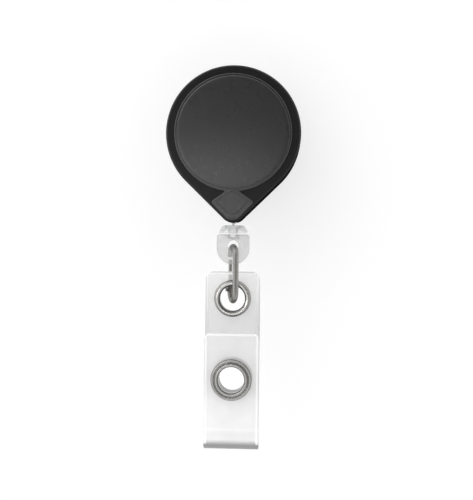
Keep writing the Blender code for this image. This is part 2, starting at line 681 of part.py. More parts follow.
def make_metal(looks, strap, flap):
    """The eyelet that the hook passes through, and the four pieces of the open ring snap."""
    nickel = looks["nickel"]
    half = STRAP_THICKNESS / 2 + GAP
    plate = RING_PLATE
    front = SEAM_Y - half
    back = SEAM_Y + half
    sizes = (EYELET_HOLE, EYELET_RADIUS)
    tubed_ring("eyelet_grommet", sizes, front, front - plate, back + plate, EYELET_Z, nickel, strap)
    washer_bore = EYELET_HOLE + TUBE_WALL + GAP
    ring("eyelet_washer", washer_bore, EYELET_RADIUS, back, back + plate, nickel, strap, EYELET_Z)

    sizes = (SNAP_HOLE, SNAP_RADIUS)
    tubed_ring("snap_post", sizes, back, back + plate, front + GAP, SNAP_Z, nickel, strap)
    stud_tip = front - plate - STUD_LENGTH
    inner_sizes = (SNAP_HOLE, SNAP_INNER_RADIUS)
    tubed_ring("snap_stud", inner_sizes, front - plate, front, stud_tip, SNAP_Z, nickel, strap)
    flap_back = FLAP_Y + half
    flap_front = FLAP_Y - half
    socket_bore = SNAP_HOLE + TUBE_WALL + GAP
    socket_y = flap_back + SNAP_PLATE
    ring("snap_socket", socket_bore, SNAP_INNER_RADIUS, flap_back, socket_y, nickel, flap, SNAP_Z)
    cap_y = flap_front - SNAP_PLATE
    tubed_ring("snap_cap", sizes, flap_front, cap_y, flap_back, SNAP_Z, nickel, flap)


def make_clip(looks, clip):
    """The riveted steel belt clip, bent over at the top, with a flared lip at its lower end."""
    stations = rounded_end(CLIP_HALF_WIDTH, CLIP_CORNER, CLIP_BASE_Z, CLIP_BASE_Y, 1)
    tongue_y = CLIP_BASE_Y + 2 * CLIP_BEND
    for step in range(FOLD_STEPS + 1):
        angle = math.pi - math.pi * step / FOLD_STEPS
        y = CLIP_BASE_Y + CLIP_BEND + CLIP_BEND * math.cos(angle)
        stations.append((y, CLIP_BEND_Z + CLIP_BEND * math.sin(angle), CLIP_HALF_WIDTH))
    for step in range(CORNER_STEPS + 1):
        angle = CLIP_LIP_TURN * step / CORNER_STEPS
        y = tongue_y + CLIP_LIP * (1 - math.cos(angle))
        z = CLIP_TONGUE_Z - CLIP_LIP * math.sin(angle)
        narrowing = CLIP_NARROWING * (step / CORNER_STEPS) ** 2
        stations.append((y, z, CLIP_HALF_WIDTH - narrowing))
    belt_clip = ribbon("belt_clip", stations, CLIP_THICKNESS, looks["steel"], clip)
    hole = rod(RIVET_RADIUS + GAP, (0, CLIP_BASE_Y, 0), (0, 1, 0), 2 * MM)
    combine(belt_clip, add("clip_hole", hole, None, clip), "DIFFERENCE")
    access = rod(RIVET_ACCESS, (0, tongue_y, 0), (0, 1, 0), 2 * MM)
    combine(belt_clip, add("clip_access", access, None, clip), "DIFFERENCE")

    outer_head = CLIP_BASE_Y + CLIP_THICKNESS / 2 + GAP
    rivet = [
        (RIVET_BORE, RIVET_INNER_Y - RIVET_PLATE),
        (RIVET_HEAD, RIVET_INNER_Y - RIVET_PLATE),
        (RIVET_HEAD, RIVET_INNER_Y),
        (RIVET_RADIUS, RIVET_INNER_Y),
        (RIVET_RADIUS, outer_head),
        (RIVET_HEAD, outer_head),
        (RIVET_HEAD, outer_head + RIVET_PLATE),
        (RIVET_BORE, outer_head + RIVET_PLATE),
    ]
    add("clip_rivet", turned(rivet, (0, 1, 0), SMALL), looks["steel"], clip)
    washer_y = CLIP_BASE_Y - CLIP_THICKNESS / 2 - GAP
    ring("clip_washer", RIVET_RADIUS + GAP, WASHER_RADIUS, GAP, washer_y, looks["white"], clip, 0.0, SMALL)


def make_looks():
    return {
        "shell": material("shell_black", (0.018, 0.018, 0.019), 0.42),
        "face": material("face_grey", (0.07, 0.07, 0.071), 0.5),
        "drum": material("drum_grey", (0.35, 0.35, 0.36), 0.5),
        "white": material("white_nylon", (0.85, 0.85, 0.84), 0.35),
        "clear": material("clear_plastic", (0.93, 0.94, 0.94), 0.08, 0.0, 0.35),
        "frosted": material("frosted_plastic", (0.8, 0.8, 0.8), 0.4, 0.0, 0.8),
        "vinyl": material("strap_vinyl", (0.9, 0.9, 0.9), 0.3, 0.0, 0.75),
        "cord": material("cord_nylon", (0.65, 0.65, 0.64), 0.7),
        "nickel": material("nickel_plate", (0.65, 0.63, 0.6), 0.2, 1.0),
        "spring": material("spring_steel", (0.4, 0.42, 0.46), 0.3, 1.0),
        "steel": material("clip_steel", (0.6, 0.6, 0.6), 0.28, 1.0),
    }


def main():
    clear_scene()
    looks = make_looks()
    clip = joint("clip_root", (0, 0, 0))
    case = joint("case_axis", (0, 0, 0), clip)
    drum = joint("drum_axis", CORD_LINE, case)
    pull = joint("pull_axis", CORD_LINE + Vector((0, 0, MOUTH_Z)), case)
    tag = joint("tag_axis", CORD_LINE + Vector((0, 0, COLLAR_BOTTOM_Z)), pull)
    hook = joint("hook_axis", CORD_LINE + Vector((0, 0, HOOK_TOP_Z)), tag, HOOK_TURN)
    gate = joint("gate_axis", (0, SEAM_Y + HOOK_HALF_DEPTH, GATE_Z), hook)
    strap = joint("strap_axis", CORD_LINE + Vector((0, 0, HOOK_BOTTOM_Z)), tag)
    flap = joint("flap_axis", (0, FLAP_Y, FLAP_PIVOT_Z), strap)

    make_clip(looks, clip)
    make_case(looks, case)
    make_arbor_and_guide(looks, case)
    make_drum(looks, drum)
    make_cord(looks, case, pull)
    make_fitting(looks, pull, tag)
    make_hook(looks, hook, gate)
    make_strap(looks, strap, flap)
    make_metal(looks, strap, flap)


main()
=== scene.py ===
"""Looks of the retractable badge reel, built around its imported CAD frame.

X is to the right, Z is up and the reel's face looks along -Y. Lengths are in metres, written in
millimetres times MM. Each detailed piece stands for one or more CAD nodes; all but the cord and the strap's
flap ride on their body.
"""

import json
import math

import bmesh
import bpy
from mathutils import Matrix, Vector
from mathutils.geometry import tessellate_polygon


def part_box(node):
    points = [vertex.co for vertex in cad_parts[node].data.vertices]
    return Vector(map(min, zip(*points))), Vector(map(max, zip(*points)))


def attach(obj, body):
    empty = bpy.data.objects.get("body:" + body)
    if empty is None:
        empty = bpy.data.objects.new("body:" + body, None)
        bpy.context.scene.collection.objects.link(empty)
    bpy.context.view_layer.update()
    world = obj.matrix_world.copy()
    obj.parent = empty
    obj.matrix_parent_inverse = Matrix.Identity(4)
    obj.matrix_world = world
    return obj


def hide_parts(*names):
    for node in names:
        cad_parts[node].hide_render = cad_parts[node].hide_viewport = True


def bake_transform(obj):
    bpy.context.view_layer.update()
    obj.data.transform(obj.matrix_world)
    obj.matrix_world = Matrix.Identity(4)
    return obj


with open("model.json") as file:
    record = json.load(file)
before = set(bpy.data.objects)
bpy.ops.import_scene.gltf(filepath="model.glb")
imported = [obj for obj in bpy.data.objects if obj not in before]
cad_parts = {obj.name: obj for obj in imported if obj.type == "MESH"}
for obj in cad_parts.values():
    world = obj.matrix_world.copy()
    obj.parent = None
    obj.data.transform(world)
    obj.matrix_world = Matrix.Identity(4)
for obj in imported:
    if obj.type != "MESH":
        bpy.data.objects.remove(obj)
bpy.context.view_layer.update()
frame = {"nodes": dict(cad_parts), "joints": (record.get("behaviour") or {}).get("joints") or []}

MM = 0.001

# Places that come from the CAD nodes' boxes and joints
CASE_LOW, CASE_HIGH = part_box("front_shell")
CASE_RADIUS = CASE_HIGH.x
MOUTH_Z = CASE_LOW.z
FIELD_Y = CASE_LOW.y
SEAM_FRONT_Y = CASE_HIGH.y
SEAM_REAR_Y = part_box("rear_shell")[0].y
CORD_Y = (SEAM_FRONT_Y + SEAM_REAR_Y) / 2
PLATE_LOW, PLATE_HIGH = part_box("face_plate")
COLLAR_LOW, COLLAR_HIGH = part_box("stop_collar")
TAG_LOW, TAG_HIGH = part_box("eye_tag")
BARREL_LOW, BARREL_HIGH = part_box("swivel_barrel")
GUIDE_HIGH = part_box("cord_guide")[1]
BACK_LEG_LOW, BACK_LEG_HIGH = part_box("strap_back")
FLAP_LOW, FLAP_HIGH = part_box("strap_flap")
CLIP_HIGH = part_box("belt_clip")[1]
JOINTS = {joint["name"]: joint for joint in frame["joints"]}

# Case
TIP_RADIUS = 3.1 * MM
TIP_Z = -18.04 * MM
WALL = 1.2 * MM
SEAM_BEVEL = 0.12 * MM
RIM_Y = -8.0 * MM
FRONT_INSIDE_Y = -7.2 * MM
REAR_INSIDE_Y = -1.6 * MM
SHOULDER_DEPTH = 1.0 * MM
SHOULDER_INSET = 0.6 * MM
BACK_ROUND_DEPTH = 0.9 * MM
BACK_ROUND_INSET = 0.8 * MM

# Raised grey field with its two recesses, for the disc and the pointed inlay
FIELD_RADIUS = 13.85 * MM
FIELD_BASE_Y = RIM_Y + 0.2 * MM
FIELD_BEVEL = 0.16 * MM
RECESS_RADIUS = 13.42 * MM
RECESS_DEPTH = 0.35 * MM
SET_BACK = 0.03 * MM
NECK_HALF_WIDTH = 1.5 * MM
NECK_FILLET = 0.2 * MM
NECK_SHARE = 1.35
RHOMBUS_HALF_WIDTH = 5.1 * MM
RHOMBUS_Z = -16.3 * MM
RHOMBUS_TOP = -12.75 * MM
RHOMBUS_BOTTOM = -21.54 * MM
RHOMBUS_TIP = 2.3 * MM
FIELD_SIDE_ROUND = 0.5 * MM
INLAY_SIDE_ROUND = 0.45 * MM
INLAY_TOP_ROUND = 0.9 * MM
INLAY_INSET = 1.05 * MM
INLAY_BEVEL = 0.1 * MM
GROOVE = 0.1 * MM
DISC_RADIUS = RECESS_RADIUS - 0.06 * MM
DISC_EDGE_LOW = 0.05 * MM
DISC_EDGE_TOP = 0.3 * MM
ROUND_STEPS = 160

# Cord end
CORD_RADIUS = 0.3 * MM
TAG_HALF_THICKNESS = 0.65 * MM
TAG_EDGE = 0.3 * MM
TAG_CORNER = 0.6 * MM
TAG_EYE_Z = -26.6 * MM
TAG_EYE_RADIUS = 1.3 * MM

# Hook
HOOK_TURN = math.radians(15)
HOOK_WIRE = 0.7 * MM
HOOK_HALF_DEPTH = 3.2 * MM
HOOK_FRONT_Y = CORD_Y - HOOK_HALF_DEPTH
HOOK_REAR_Y = CORD_Y + HOOK_HALF_DEPTH
HOOK_BEND = 2.4 * MM
HOOK_TOP_Z = JOINTS["hook_swing"]["pos_m"][2]
HOOK_BOTTOM_Z = JOINTS["strap_swing"]["pos_m"][2]
NOSE_Z = -29.6 * MM
GATE_Z = JOINTS["gate_open"]["pos_m"][2]
GATE_TOP_Z = -29.95 * MM
GATE_WIRE = 0.45 * MM

# Strap
STRAP_HALF_WIDTH = BACK_LEG_HIGH.x
STRAP_THICKNESS = 0.8 * MM
STRAP_EDGE = 0.3 * MM
STRAP_CORNER = 1.9 * MM
FOLD_RADIUS = 1.4 * MM
STRAP_BOTTOM = BACK_LEG_LOW.z - 0.4 * MM
FOLD_Z = STRAP_BOTTOM + STRAP_THICKNESS / 2 + FOLD_RADIUS
BACK_LEG_Y = CORD_Y
FLAP_Y = CORD_Y - 2 * FOLD_RADIUS
EYELET_Z = -39.2 * MM
EYELET_BORE = 3.4 * MM
SNAP_Z = -58.3 * MM
SNAP_BORE = 3.5 * MM
STRAP_CUT = 1.2 * MM
REST_PLACE = "rest_place"

# Belt clip
CLIP_THICKNESS = 0.7 * MM
CLIP_EDGE = 0.25 * MM
CLIP_BASE_Y = 1.35 * MM
CLIP_BASE_BOTTOM = -8.0 * MM
CLIP_CORNER = 2.2 * MM
CLIP_BEND = 3.0 * MM
CLIP_BEND_Z = CLIP_HIGH.z - CLIP_BEND - CLIP_THICKNESS / 2
TONGUE_Y = CLIP_BASE_Y + 2 * CLIP_BEND
TONGUE_BOTTOM = -9.5 * MM
LIP_RADIUS = 3.2 * MM
LIP_TURN = math.radians(55)
LIP_NARROWING = 1.6 * MM


# ---------------------------------------------------------------- shapes


def in_metres(corners):
    """Outline corners (a, b, radius) given in millimetres."""
    return [(a * MM, b * MM, radius * MM) for a, b, radius in corners]


def quarter_turn(steps):
    """Pairs (1 - cos, 1 - sin) over a quarter turn, which round an edge over."""
    for step in range(steps + 1):
        angle = math.pi / 2 * step / steps
        yield 1 - math.cos(angle), 1 - math.sin(angle)


def rounded_loop(corners, steps=4, closed=True):
    """A 2-D outline of (a, b, radius) corners, convex or not, with an arc at each corner."""
    points = []
    count = len(corners)
    for i, (a, b, radius) in enumerate(corners):
        here = Vector((a, b))
        inner = closed or 0 < i < count - 1
        if radius <= 0 or not inner:
            points.append((a, b))
            continue
        before = (Vector(corners[i - 1][:2]) - here).normalized()
        after = (Vector(corners[(i + 1) % count][:2]) - here).normalized()
        half = before.angle(after) / 2
        centre = here + (before + after).normalized() * radius / math.sin(half)
        start = here + before * radius / math.tan(half) - centre
        end = here + after * radius / math.tan(half) - centre
        swing = start.angle(end)
        for step in range(steps + 1):
            t = step / steps
            mixed = (start * math.sin((1 - t) * swing) + end * math.sin(t * swing)) / math.sin(swing)
            points.append(tuple(centre + mixed))
    return points


def make(name, bm, look, body=None, stands_for=(), sharp=35):
    """Turn a mesh into a smooth-shaded piece that rides on a body and stands for CAD nodes."""
    bmesh.ops.remove_doubles(bm, verts=bm.verts, dist=1e-7)
    bmesh.ops.recalc_face_normals(bm, faces=bm.faces)
    mesh = bpy.data.meshes.new(name)
    bm.to_mesh(mesh)
    bm.free()
    mesh.shade_smooth()
    mesh.set_sharp_from_angle(angle=math.radians(sharp))
    mesh.materials.append(look)
    item = bpy.data.objects.new(name, mesh)
    bpy.context.scene.collection.objects.link(item)
    if body:
        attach(item, body)
    if stands_for:
        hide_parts(*stands_for)
    return item


def weigh_normals(item):
    """Keep broad flat faces flat beside their rounded edges."""
    modifier = item.modifiers.new("Normals", "WEIGHTED_NORMAL")
    modifier.weight = 100
    modifier.keep_sharp = True


def lathe(profile, axis="Y", centre=(0, 0, 0), steps=96, closed=True):
    """Turn a profile of (radius, along) points about an axis through centre."""
    bm = bmesh.new()
    rings = []
    for radius, along in profile:
        ring = []
        for i in range(steps):
            angle = math.tau * i / steps
            u = radius * math.cos(angle)
            v = radius * math.sin(angle)
            place = {"Y": (u, along, v), "Z": (u, v, along), "X": (along, u, v)}[axis]
            ring.append(bm.verts.new(Vector(place) + Vector(centre)))
        rings.append(ring)
    pairs = list(zip(rings, rings[1:]))
    if closed:
        pairs.append((rings[-1], rings[0]))
    for low, high in pairs:
        for i in range(steps):
            bm.faces.new((low[i - 1], low[i], high[i], high[i - 1]))
    return bm


def skin(rings, cap_start=True, cap_end=True):
    """Join rings of equally many 3-D points into a tube-like surface."""
    bm = bmesh.new()
    rows = [[bm.verts.new(point) for point in ring] for ring in rings]
    for low, high in zip(rows, rows[1:]):
        for i in range(len(low)):
            bm.faces.new((low[i - 1], low[i], high[i], high[i - 1]))
    if cap_start:
        bm.faces.new(rows[0])
    if cap_end:
        bm.faces.new(rows[-1])
    return bm


def add_mesh(bm, other):
    """Add another mesh to this one and free the other."""
    mesh = bpy.data.meshes.new("part")
    other.to_mesh(mesh)
    other.free()
    bm.from_mesh(mesh)
    bpy.data.meshes.remove(mesh)


def at_depth(outline, y):
    """An outline of (x, z) points set at depth y."""
    return [(x, y, z) for x, z in outline]


def sweep(path, radii, sides=28):
    """A round rod along a path in the YZ plane, with a radius at each point."""
    across = Vector((1, 0, 0))
    rings = []
    for i, point in enumerate(path):
        ahead = Vector(path[min(i + 1, len(path) - 1)])
        behind = Vector(path[max(i - 1, 0)])
        side = (ahead - behind).normalized().cross(across)
        ring = []
        for step in range(sides):
            angle = math.tau * step / sides
            out = across * math.cos(angle) + side * math.sin(angle)
            ring.append(Vector(point) + radii[i] * out)
        rings.append(ring)
    return rings


def domed_ends(path, radius, steps=6):
    """The path and radii of a rod whose two ends are rounded over."""
    start = Vector(path[0])
    end = Vector(path[-1])
    back = (start - Vector(path[1])).normalized()
    ahead = (end - Vector(path[-2])).normalized()
    points = []
    radii = []
    for step in range(steps):
        angle = math.pi / 2 * step / steps
        points.append(start + back * radius * math.cos(angle))
        radii.append(max(radius * math.sin(angle), 0.01 * radius))
    points += [Vector(p) for p in path]
    radii += [radius] * len(path)
    for step in reversed(range(steps)):
        angle = math.pi / 2 * step / steps
        points.append(end + ahead * radius * math.cos(angle))
        radii.append(max(radius * math.sin(angle), 0.01 * radius))
    return points, radii


def teardrop(inset, arc_steps=150, tip_steps=28):
    """The case's outline moved in: a circle and a small tip circle with common tangents."""
    slope = math.asin((CASE_RADIUS - TIP_RADIUS) / -TIP_Z)
    points = []
    for i in range(arc_steps + 1):
        angle = -slope + (math.pi + 2 * slope) * i / arc_steps
        points.append(((CASE_RADIUS - inset) * math.cos(angle), (CASE_RADIUS - inset) * math.sin(angle)))
    for i in range(tip_steps + 1):
        angle = math.pi + slope + (math.pi - 2 * slope) * i / tip_steps
        reach = TIP_RADIUS - inset
        points.append((reach * math.cos(angle), TIP_Z + reach * math.sin(angle)))
    return points


def rhombus(inset):
    """The pointed inlay's outline at the case's tip: the field's point moved in by inset."""
    shrink = 1 - inset / (RHOMBUS_HALF_WIDTH * math.cos(math.radians(45)))
    return rounded_loop(
        [
            (0, RHOMBUS_Z + (RHOMBUS_TOP - RHOMBUS_Z) * shrink, INLAY_TOP_ROUND),
            (RHOMBUS_HALF_WIDTH * shrink, RHOMBUS_Z, INLAY_SIDE_ROUND),
            (0, RHOMBUS_Z + (RHOMBUS_BOTTOM - RHOMBUS_Z) * shrink, RHOMBUS_TIP - inset / 2),
            (-RHOMBUS_HALF_WIDTH * shrink, RHOMBUS_Z, INLAY_SIDE_ROUND),
        ],
        steps=10,
    )


def field_outline():
    """The raised grey field: the disc, its neck and the pointed end in one outline."""
    neck_angle = math.asin(NECK_HALF_WIDTH / FIELD_RADIUS)
    neck_z = -FIELD_RADIUS * math.cos(neck_angle)
    corners = [(NECK_HALF_WIDTH, neck_z, NECK_FILLET)]
    first = -math.pi / 2 + neck_angle * NECK_SHARE
    swing = math.tau - 2 * neck_angle * NECK_SHARE
    for i in range(ROUND_STEPS + 1):
        angle = first + swing * i / ROUND_STEPS
        corners.append((FIELD_RADIUS * math.cos(angle), FIELD_RADIUS * math.sin(angle), 0))
    corners += [
        (-NECK_HALF_WIDTH, neck_z, NECK_FILLET),
        (-RHOMBUS_HALF_WIDTH, RHOMBUS_Z, FIELD_SIDE_ROUND),
        (0, RHOMBUS_BOTTOM, RHOMBUS_TIP),
        (RHOMBUS_HALF_WIDTH, RHOMBUS_Z, FIELD_SIDE_ROUND),
    ]
    return rounded_loop(corners, steps=10)


def moved_in(outline, distance):
    """The outline moved inwards, each point along the mean of its edges' normals."""
    points = [Vector(p) for p in outline]
    count = len(points)
    area = sum(points[i - 1].cross(points[i]) for i in range(count))
    sign = 1 if area > 0 else -1
    moved = []
    for i, point in enumerate(points):
        along = (points[(i + 1) % count] - points[i - 1]).normalized()
        moved.append(tuple(point + Vector((-along.y, along.x)) * sign * distance))
    return moved


def plate_with_holes(outline, holes, y_base, y_top, bevel, hole_depth):
    """A raised plate with a rounded outer edge and recesses, whose underside is hidden."""
    rings = [at_depth(outline, y_base)]
    for inset, drop in quarter_turn(5):
        rings.append(at_depth(moved_in(outline, bevel * inset), y_top + bevel * drop))
    bm = skin(rings, cap_start=False, cap_end=False)
    for hole in holes:
        add_mesh(bm, skin([at_depth(hole, y_top), at_depth(hole, y_top + hole_depth)], cap_start=False))
    loops = [[Vector((x, z, 0)) for x, _, z in rings[-1]]]
    loops += [[Vector((x, z, 0)) for x, z in hole] for hole in holes]
    flat = [bm.verts.new((p.x, y_top, p.y)) for loop in loops for p in loop]
    for a, b, c in tessellate_polygon(loops):
        bm.faces.new((flat[a], flat[b], flat[c]))
    return bm


def strip_rings(stations, thickness, edge, corner_steps=4):
    """Cross sections of a flat strip across X, given as (y, z, half width, thickness share)."""
    rings = []
    for i, (y, z, half, share) in enumerate(stations):
        ahead = stations[min(i + 1, len(stations) - 1)]
        behind = stations[max(i - 1, 0)]
        along = Vector((0, ahead[0] - behind[0], ahead[1] - behind[1])).normalized()
        out = along.cross(Vector((1, 0, 0)))
        thick = thickness * share / 2
        bend = min(edge, thick * 0.98, half * 0.98)
        section = rounded_loop(
            [(half, thick, bend), (-half, thick, bend), (-half, -thick, bend), (half, -thick, bend)],
            steps=corner_steps,
        )
        rings.append([Vector((u, y, z)) + out * v for u, v in section])
    return rings


def rounded_end(half_width, corner, z_end, y, inward, steps=8):
    """Stations of a strip's end with round corners, from its thinned end edge inwards along Z."""
    stations = []
    for step, (along, narrowing) in enumerate(quarter_turn(steps)):
        share = min(1.0, 0.55 + 0.45 * step / 2)
        stations.append((y, z_end + inward * corner * along, half_width - corner * narrowing, share))
    return stations


def straight(y, z_from, z_to, half_width, steps):
    """Stations along a straight leg, ends left out."""
    return [(y, z_from + (z_to - z_from) * i / steps, half_width, 1.0) for i in range(1, steps)]


def cut_holes(item, holes, depth):
    """Cut round holes of (y, z, radius) along Y through a piece, for good."""
    for y, z, radius in holes:
        profile = [(0, -depth), (radius, -depth), (radius, depth), (0, depth)]
        bm = lathe(profile, "Y", (0, y, z), 72, closed=False)
        bmesh.ops.remove_doubles(bm, verts=bm.verts, dist=1e-7)
        bmesh.ops.recalc_face_normals(bm, faces=bm.faces)
        mesh = bpy.data.meshes.new("cutter")
        bm.to_mesh(mesh)
        bm.free()
        cutter = bpy.data.objects.new("cutter", mesh)
        bpy.context.scene.collection.objects.link(cutter)
        modifier = item.modifiers.new("Hole", "BOOLEAN")
        modifier.operation = "DIFFERENCE"
        modifier.solver = "EXACT"
        modifier.object = cutter
        evaluated = item.evaluated_get(bpy.context.evaluated_depsgraph_get())
        cut = bpy.data.meshes.new_from_object(evaluated)
        item.modifiers.clear()
        item.data = cut
        bpy.data.objects.remove(cutter)
    item.data.set_sharp_from_angle(angle=math.radians(35))


def keep_rest_places(item):
    """Store where each point is at rest, so that a bent piece keeps its pattern."""
    attribute = item.data.attributes.new(REST_PLACE, "FLOAT_VECTOR", "POINT")
    for vertex, value in zip(item.data.vertices, attribute.data):
        value.vector = vertex.co


# ---------------------------------------------------------------- materials


def new_look(name):
    """A new material, its node tree and its shader."""
    look = bpy.data.materials.new(name)
    look.use_nodes = True
    return look, look.node_tree, look.node_tree.nodes["Principled BSDF"]


def set_inputs(shader, **values):
    """Set the shader's own values; a name has underscores for its spaces."""
    for name, value in values.items():
        shader.inputs[name.replace("_", " ")].default_value = value


def noise(tree, scale, detail=4.0, stretch=(1, 1, 1)):
    """Noise over the piece's own coordinates; scale is in features per metre."""
    place = tree.nodes.new("ShaderNodeTexCoord")
    mapping = tree.nodes.new("ShaderNodeMapping")
    mapping.inputs["Scale"].default_value = stretch
    texture = tree.nodes.new("ShaderNodeTexNoise")
    texture.inputs["Scale"].default_value = scale
    texture.inputs["Detail"].default_value = detail
    tree.links.new(place.outputs["Object"], mapping.inputs["Vector"])
    tree.links.new(mapping.outputs["Vector"], texture.inputs["Vector"])
    return texture.outputs["Fac"]


def mapped(tree, value, start, end, low=0.0, high=1.0, easing="LINEAR"):
    """Map start to end onto low to high, held at both ends; start may be the larger."""
    ranged = tree.nodes.new("ShaderNodeMapRange")
    ranged.interpolation_type = easing
    for name, number in (("From Min", start), ("From Max", end), ("To Min", low), ("To Max", high)):
        ranged.inputs[name].default_value = number
    tree.links.new(value, ranged.inputs["Value"])
    return ranged.outputs["Result"]


def spread(tree, value, low=0.0, high=1.0):
    """Map a noise value around its middle to the range low to high."""
    return mapped(tree, value, 0.3, 0.7, low, high)


def between(tree, value, start, end):
    """0 at start, 1 at end, eased."""
    return mapped(tree, value, start, end, easing="SMOOTHSTEP")


def computed(tree, operation, *values):
    """A math node on sockets or numbers."""
    node = tree.nodes.new("ShaderNodeMath")
    node.operation = operation
    for socket, value in zip(node.inputs, values):
        if isinstance(value, float):
            socket.default_value = value
        else:
            tree.links.new(value, socket)
    return node.outputs["Value"]


def blended(tree, factor, first, second):
    """A colour between two colours or colour sockets."""
    node = tree.nodes.new("ShaderNodeMix")
    node.data_type = "RGBA"
    tree.links.new(factor, node.inputs["Factor"])
    for name, value in (("A", first), ("B", second)):
        if isinstance(value, tuple):
            node.inputs[name].default_value = (*value, 1)
        else:
            tree.links.new(value, node.inputs[name])
    return node.outputs["Result"]


def parts_of(tree, vector):
    """The X, Y and Z sockets of a vector socket."""
    node = tree.nodes.new("ShaderNodeSeparateXYZ")
    tree.links.new(vector, node.inputs["Vector"])
    return node.outputs


def grey_ramp(tree, factor, stops):
    """A ramp node of greys through (position, level) stops."""
    ramp = tree.nodes.new("ShaderNodeValToRGB")
    while len(ramp.color_ramp.elements) < len(stops):
        ramp.color_ramp.elements.new(0.5)
    for element, (position, level) in zip(ramp.color_ramp.elements, stops):
        element.position = position
        element.color = (level, level, level, 1)
    tree.links.new(factor, ramp.inputs["Fac"])
    return ramp


def by_height(tree, height, levels):
    """A grey that follows (z in millimetres, level) pairs up the strap."""
    low = levels[0][0]
    high = levels[-1][0]
    stops = [((z - low) / (high - low), level) for z, level in levels]
    return grey_ramp(tree, mapped(tree, height, low * MM, high * MM), stops).outputs["Color"]


def facing_front(tree, start, end):
    """How squarely the surface faces along Y: 0 below the start share and 1 above the end share."""
    place = tree.nodes.new("ShaderNodeTexCoord")
    turned = parts_of(tree, place.outputs["Normal"])["Y"]
    return between(tree, computed(tree, "ABSOLUTE", turned), start, end)


def tint(tree, shader, factor, dark, light):
    """Base colour between two colours, by factor."""
    tree.links.new(blended(tree, factor, dark, light), shader.inputs["Base Color"])


def bump(tree, shader, height, strength, distance):
    """Relief that follows height, distance deep."""
    node = tree.nodes.new("ShaderNodeBump")
    node.inputs["Strength"].default_value = strength
    node.inputs["Distance"].default_value = distance
    tree.links.new(height, node.inputs["Height"])
    tree.links.new(node.outputs["Normal"], shader.inputs["Normal"])


def moulded(name, dark, light, rough, **more):
    """Moulded plastic: slight mottling, a fine spark-eroded grain and uneven gloss."""
    look, tree, shader = new_look(name)
    set_inputs(shader, Metallic=0.0, **more)
    tint(tree, shader, spread(tree, noise(tree, 350, 3)), dark, light)
    tree.links.new(spread(tree, noise(tree, 900, 2), *rough), shader.inputs["Roughness"])
    bump(tree, shader, noise(tree, 1500, 1), 0.03, 0.01 * MM)
    return look


def shell_look():
    """Black moulded plastic: satin on its front, dull where the mould was eroded down its sides."""
    look = moulded("shell_plastic", (0.0042, 0.0042, 0.0043), (0.0058, 0.0058, 0.0059), (0.32, 0.4))
    tree = look.node_tree
    gloss = mapped(tree, facing_front(tree, 0.25, 0.95), 0.0, 1.0, 0.0, 0.35)
    tree.links.new(gloss, tree.nodes["Principled BSDF"].inputs["Specular IOR Level"])
    return look


def metal(name, rough, scratches=(1, 1, 1), strength=0.08, grain=2500):
    """Metal with fine wear scratches and uneven gloss, its colour still to be set."""
    look, tree, shader = new_look(name)
    set_inputs(shader, Metallic=1.0)
    tree.links.new(spread(tree, noise(tree, grain, 3, scratches), *rough), shader.inputs["Roughness"])
    bump(tree, shader, noise(tree, 1800, 2, scratches), strength, 0.01 * MM)
    return look, tree, shader


def plated(name, dark, light, rough, scratches):
    """Plated or brushed metal with faint clouding."""
    look, tree, shader = metal(name, rough, scratches)
    tint(tree, shader, spread(tree, noise(tree, 700, 4)), dark, light)
    return look


def ring_look(name, flank_shade, crest_highlight):
    """Nickel on a turned ring, its colour painted by how squarely it faces along Y: a painted highlight on
    its crests and painted shade down its flanks.
    """
    look, tree, shader = metal(name, (0.18, 0.22), strength=0.01, grain=600)
    # Painted highlight where the ring faces along Y, painted shade where it turns away.
    tint(tree, shader, facing_front(tree, 0.9, 0.99), flank_shade, crest_highlight)
    return look


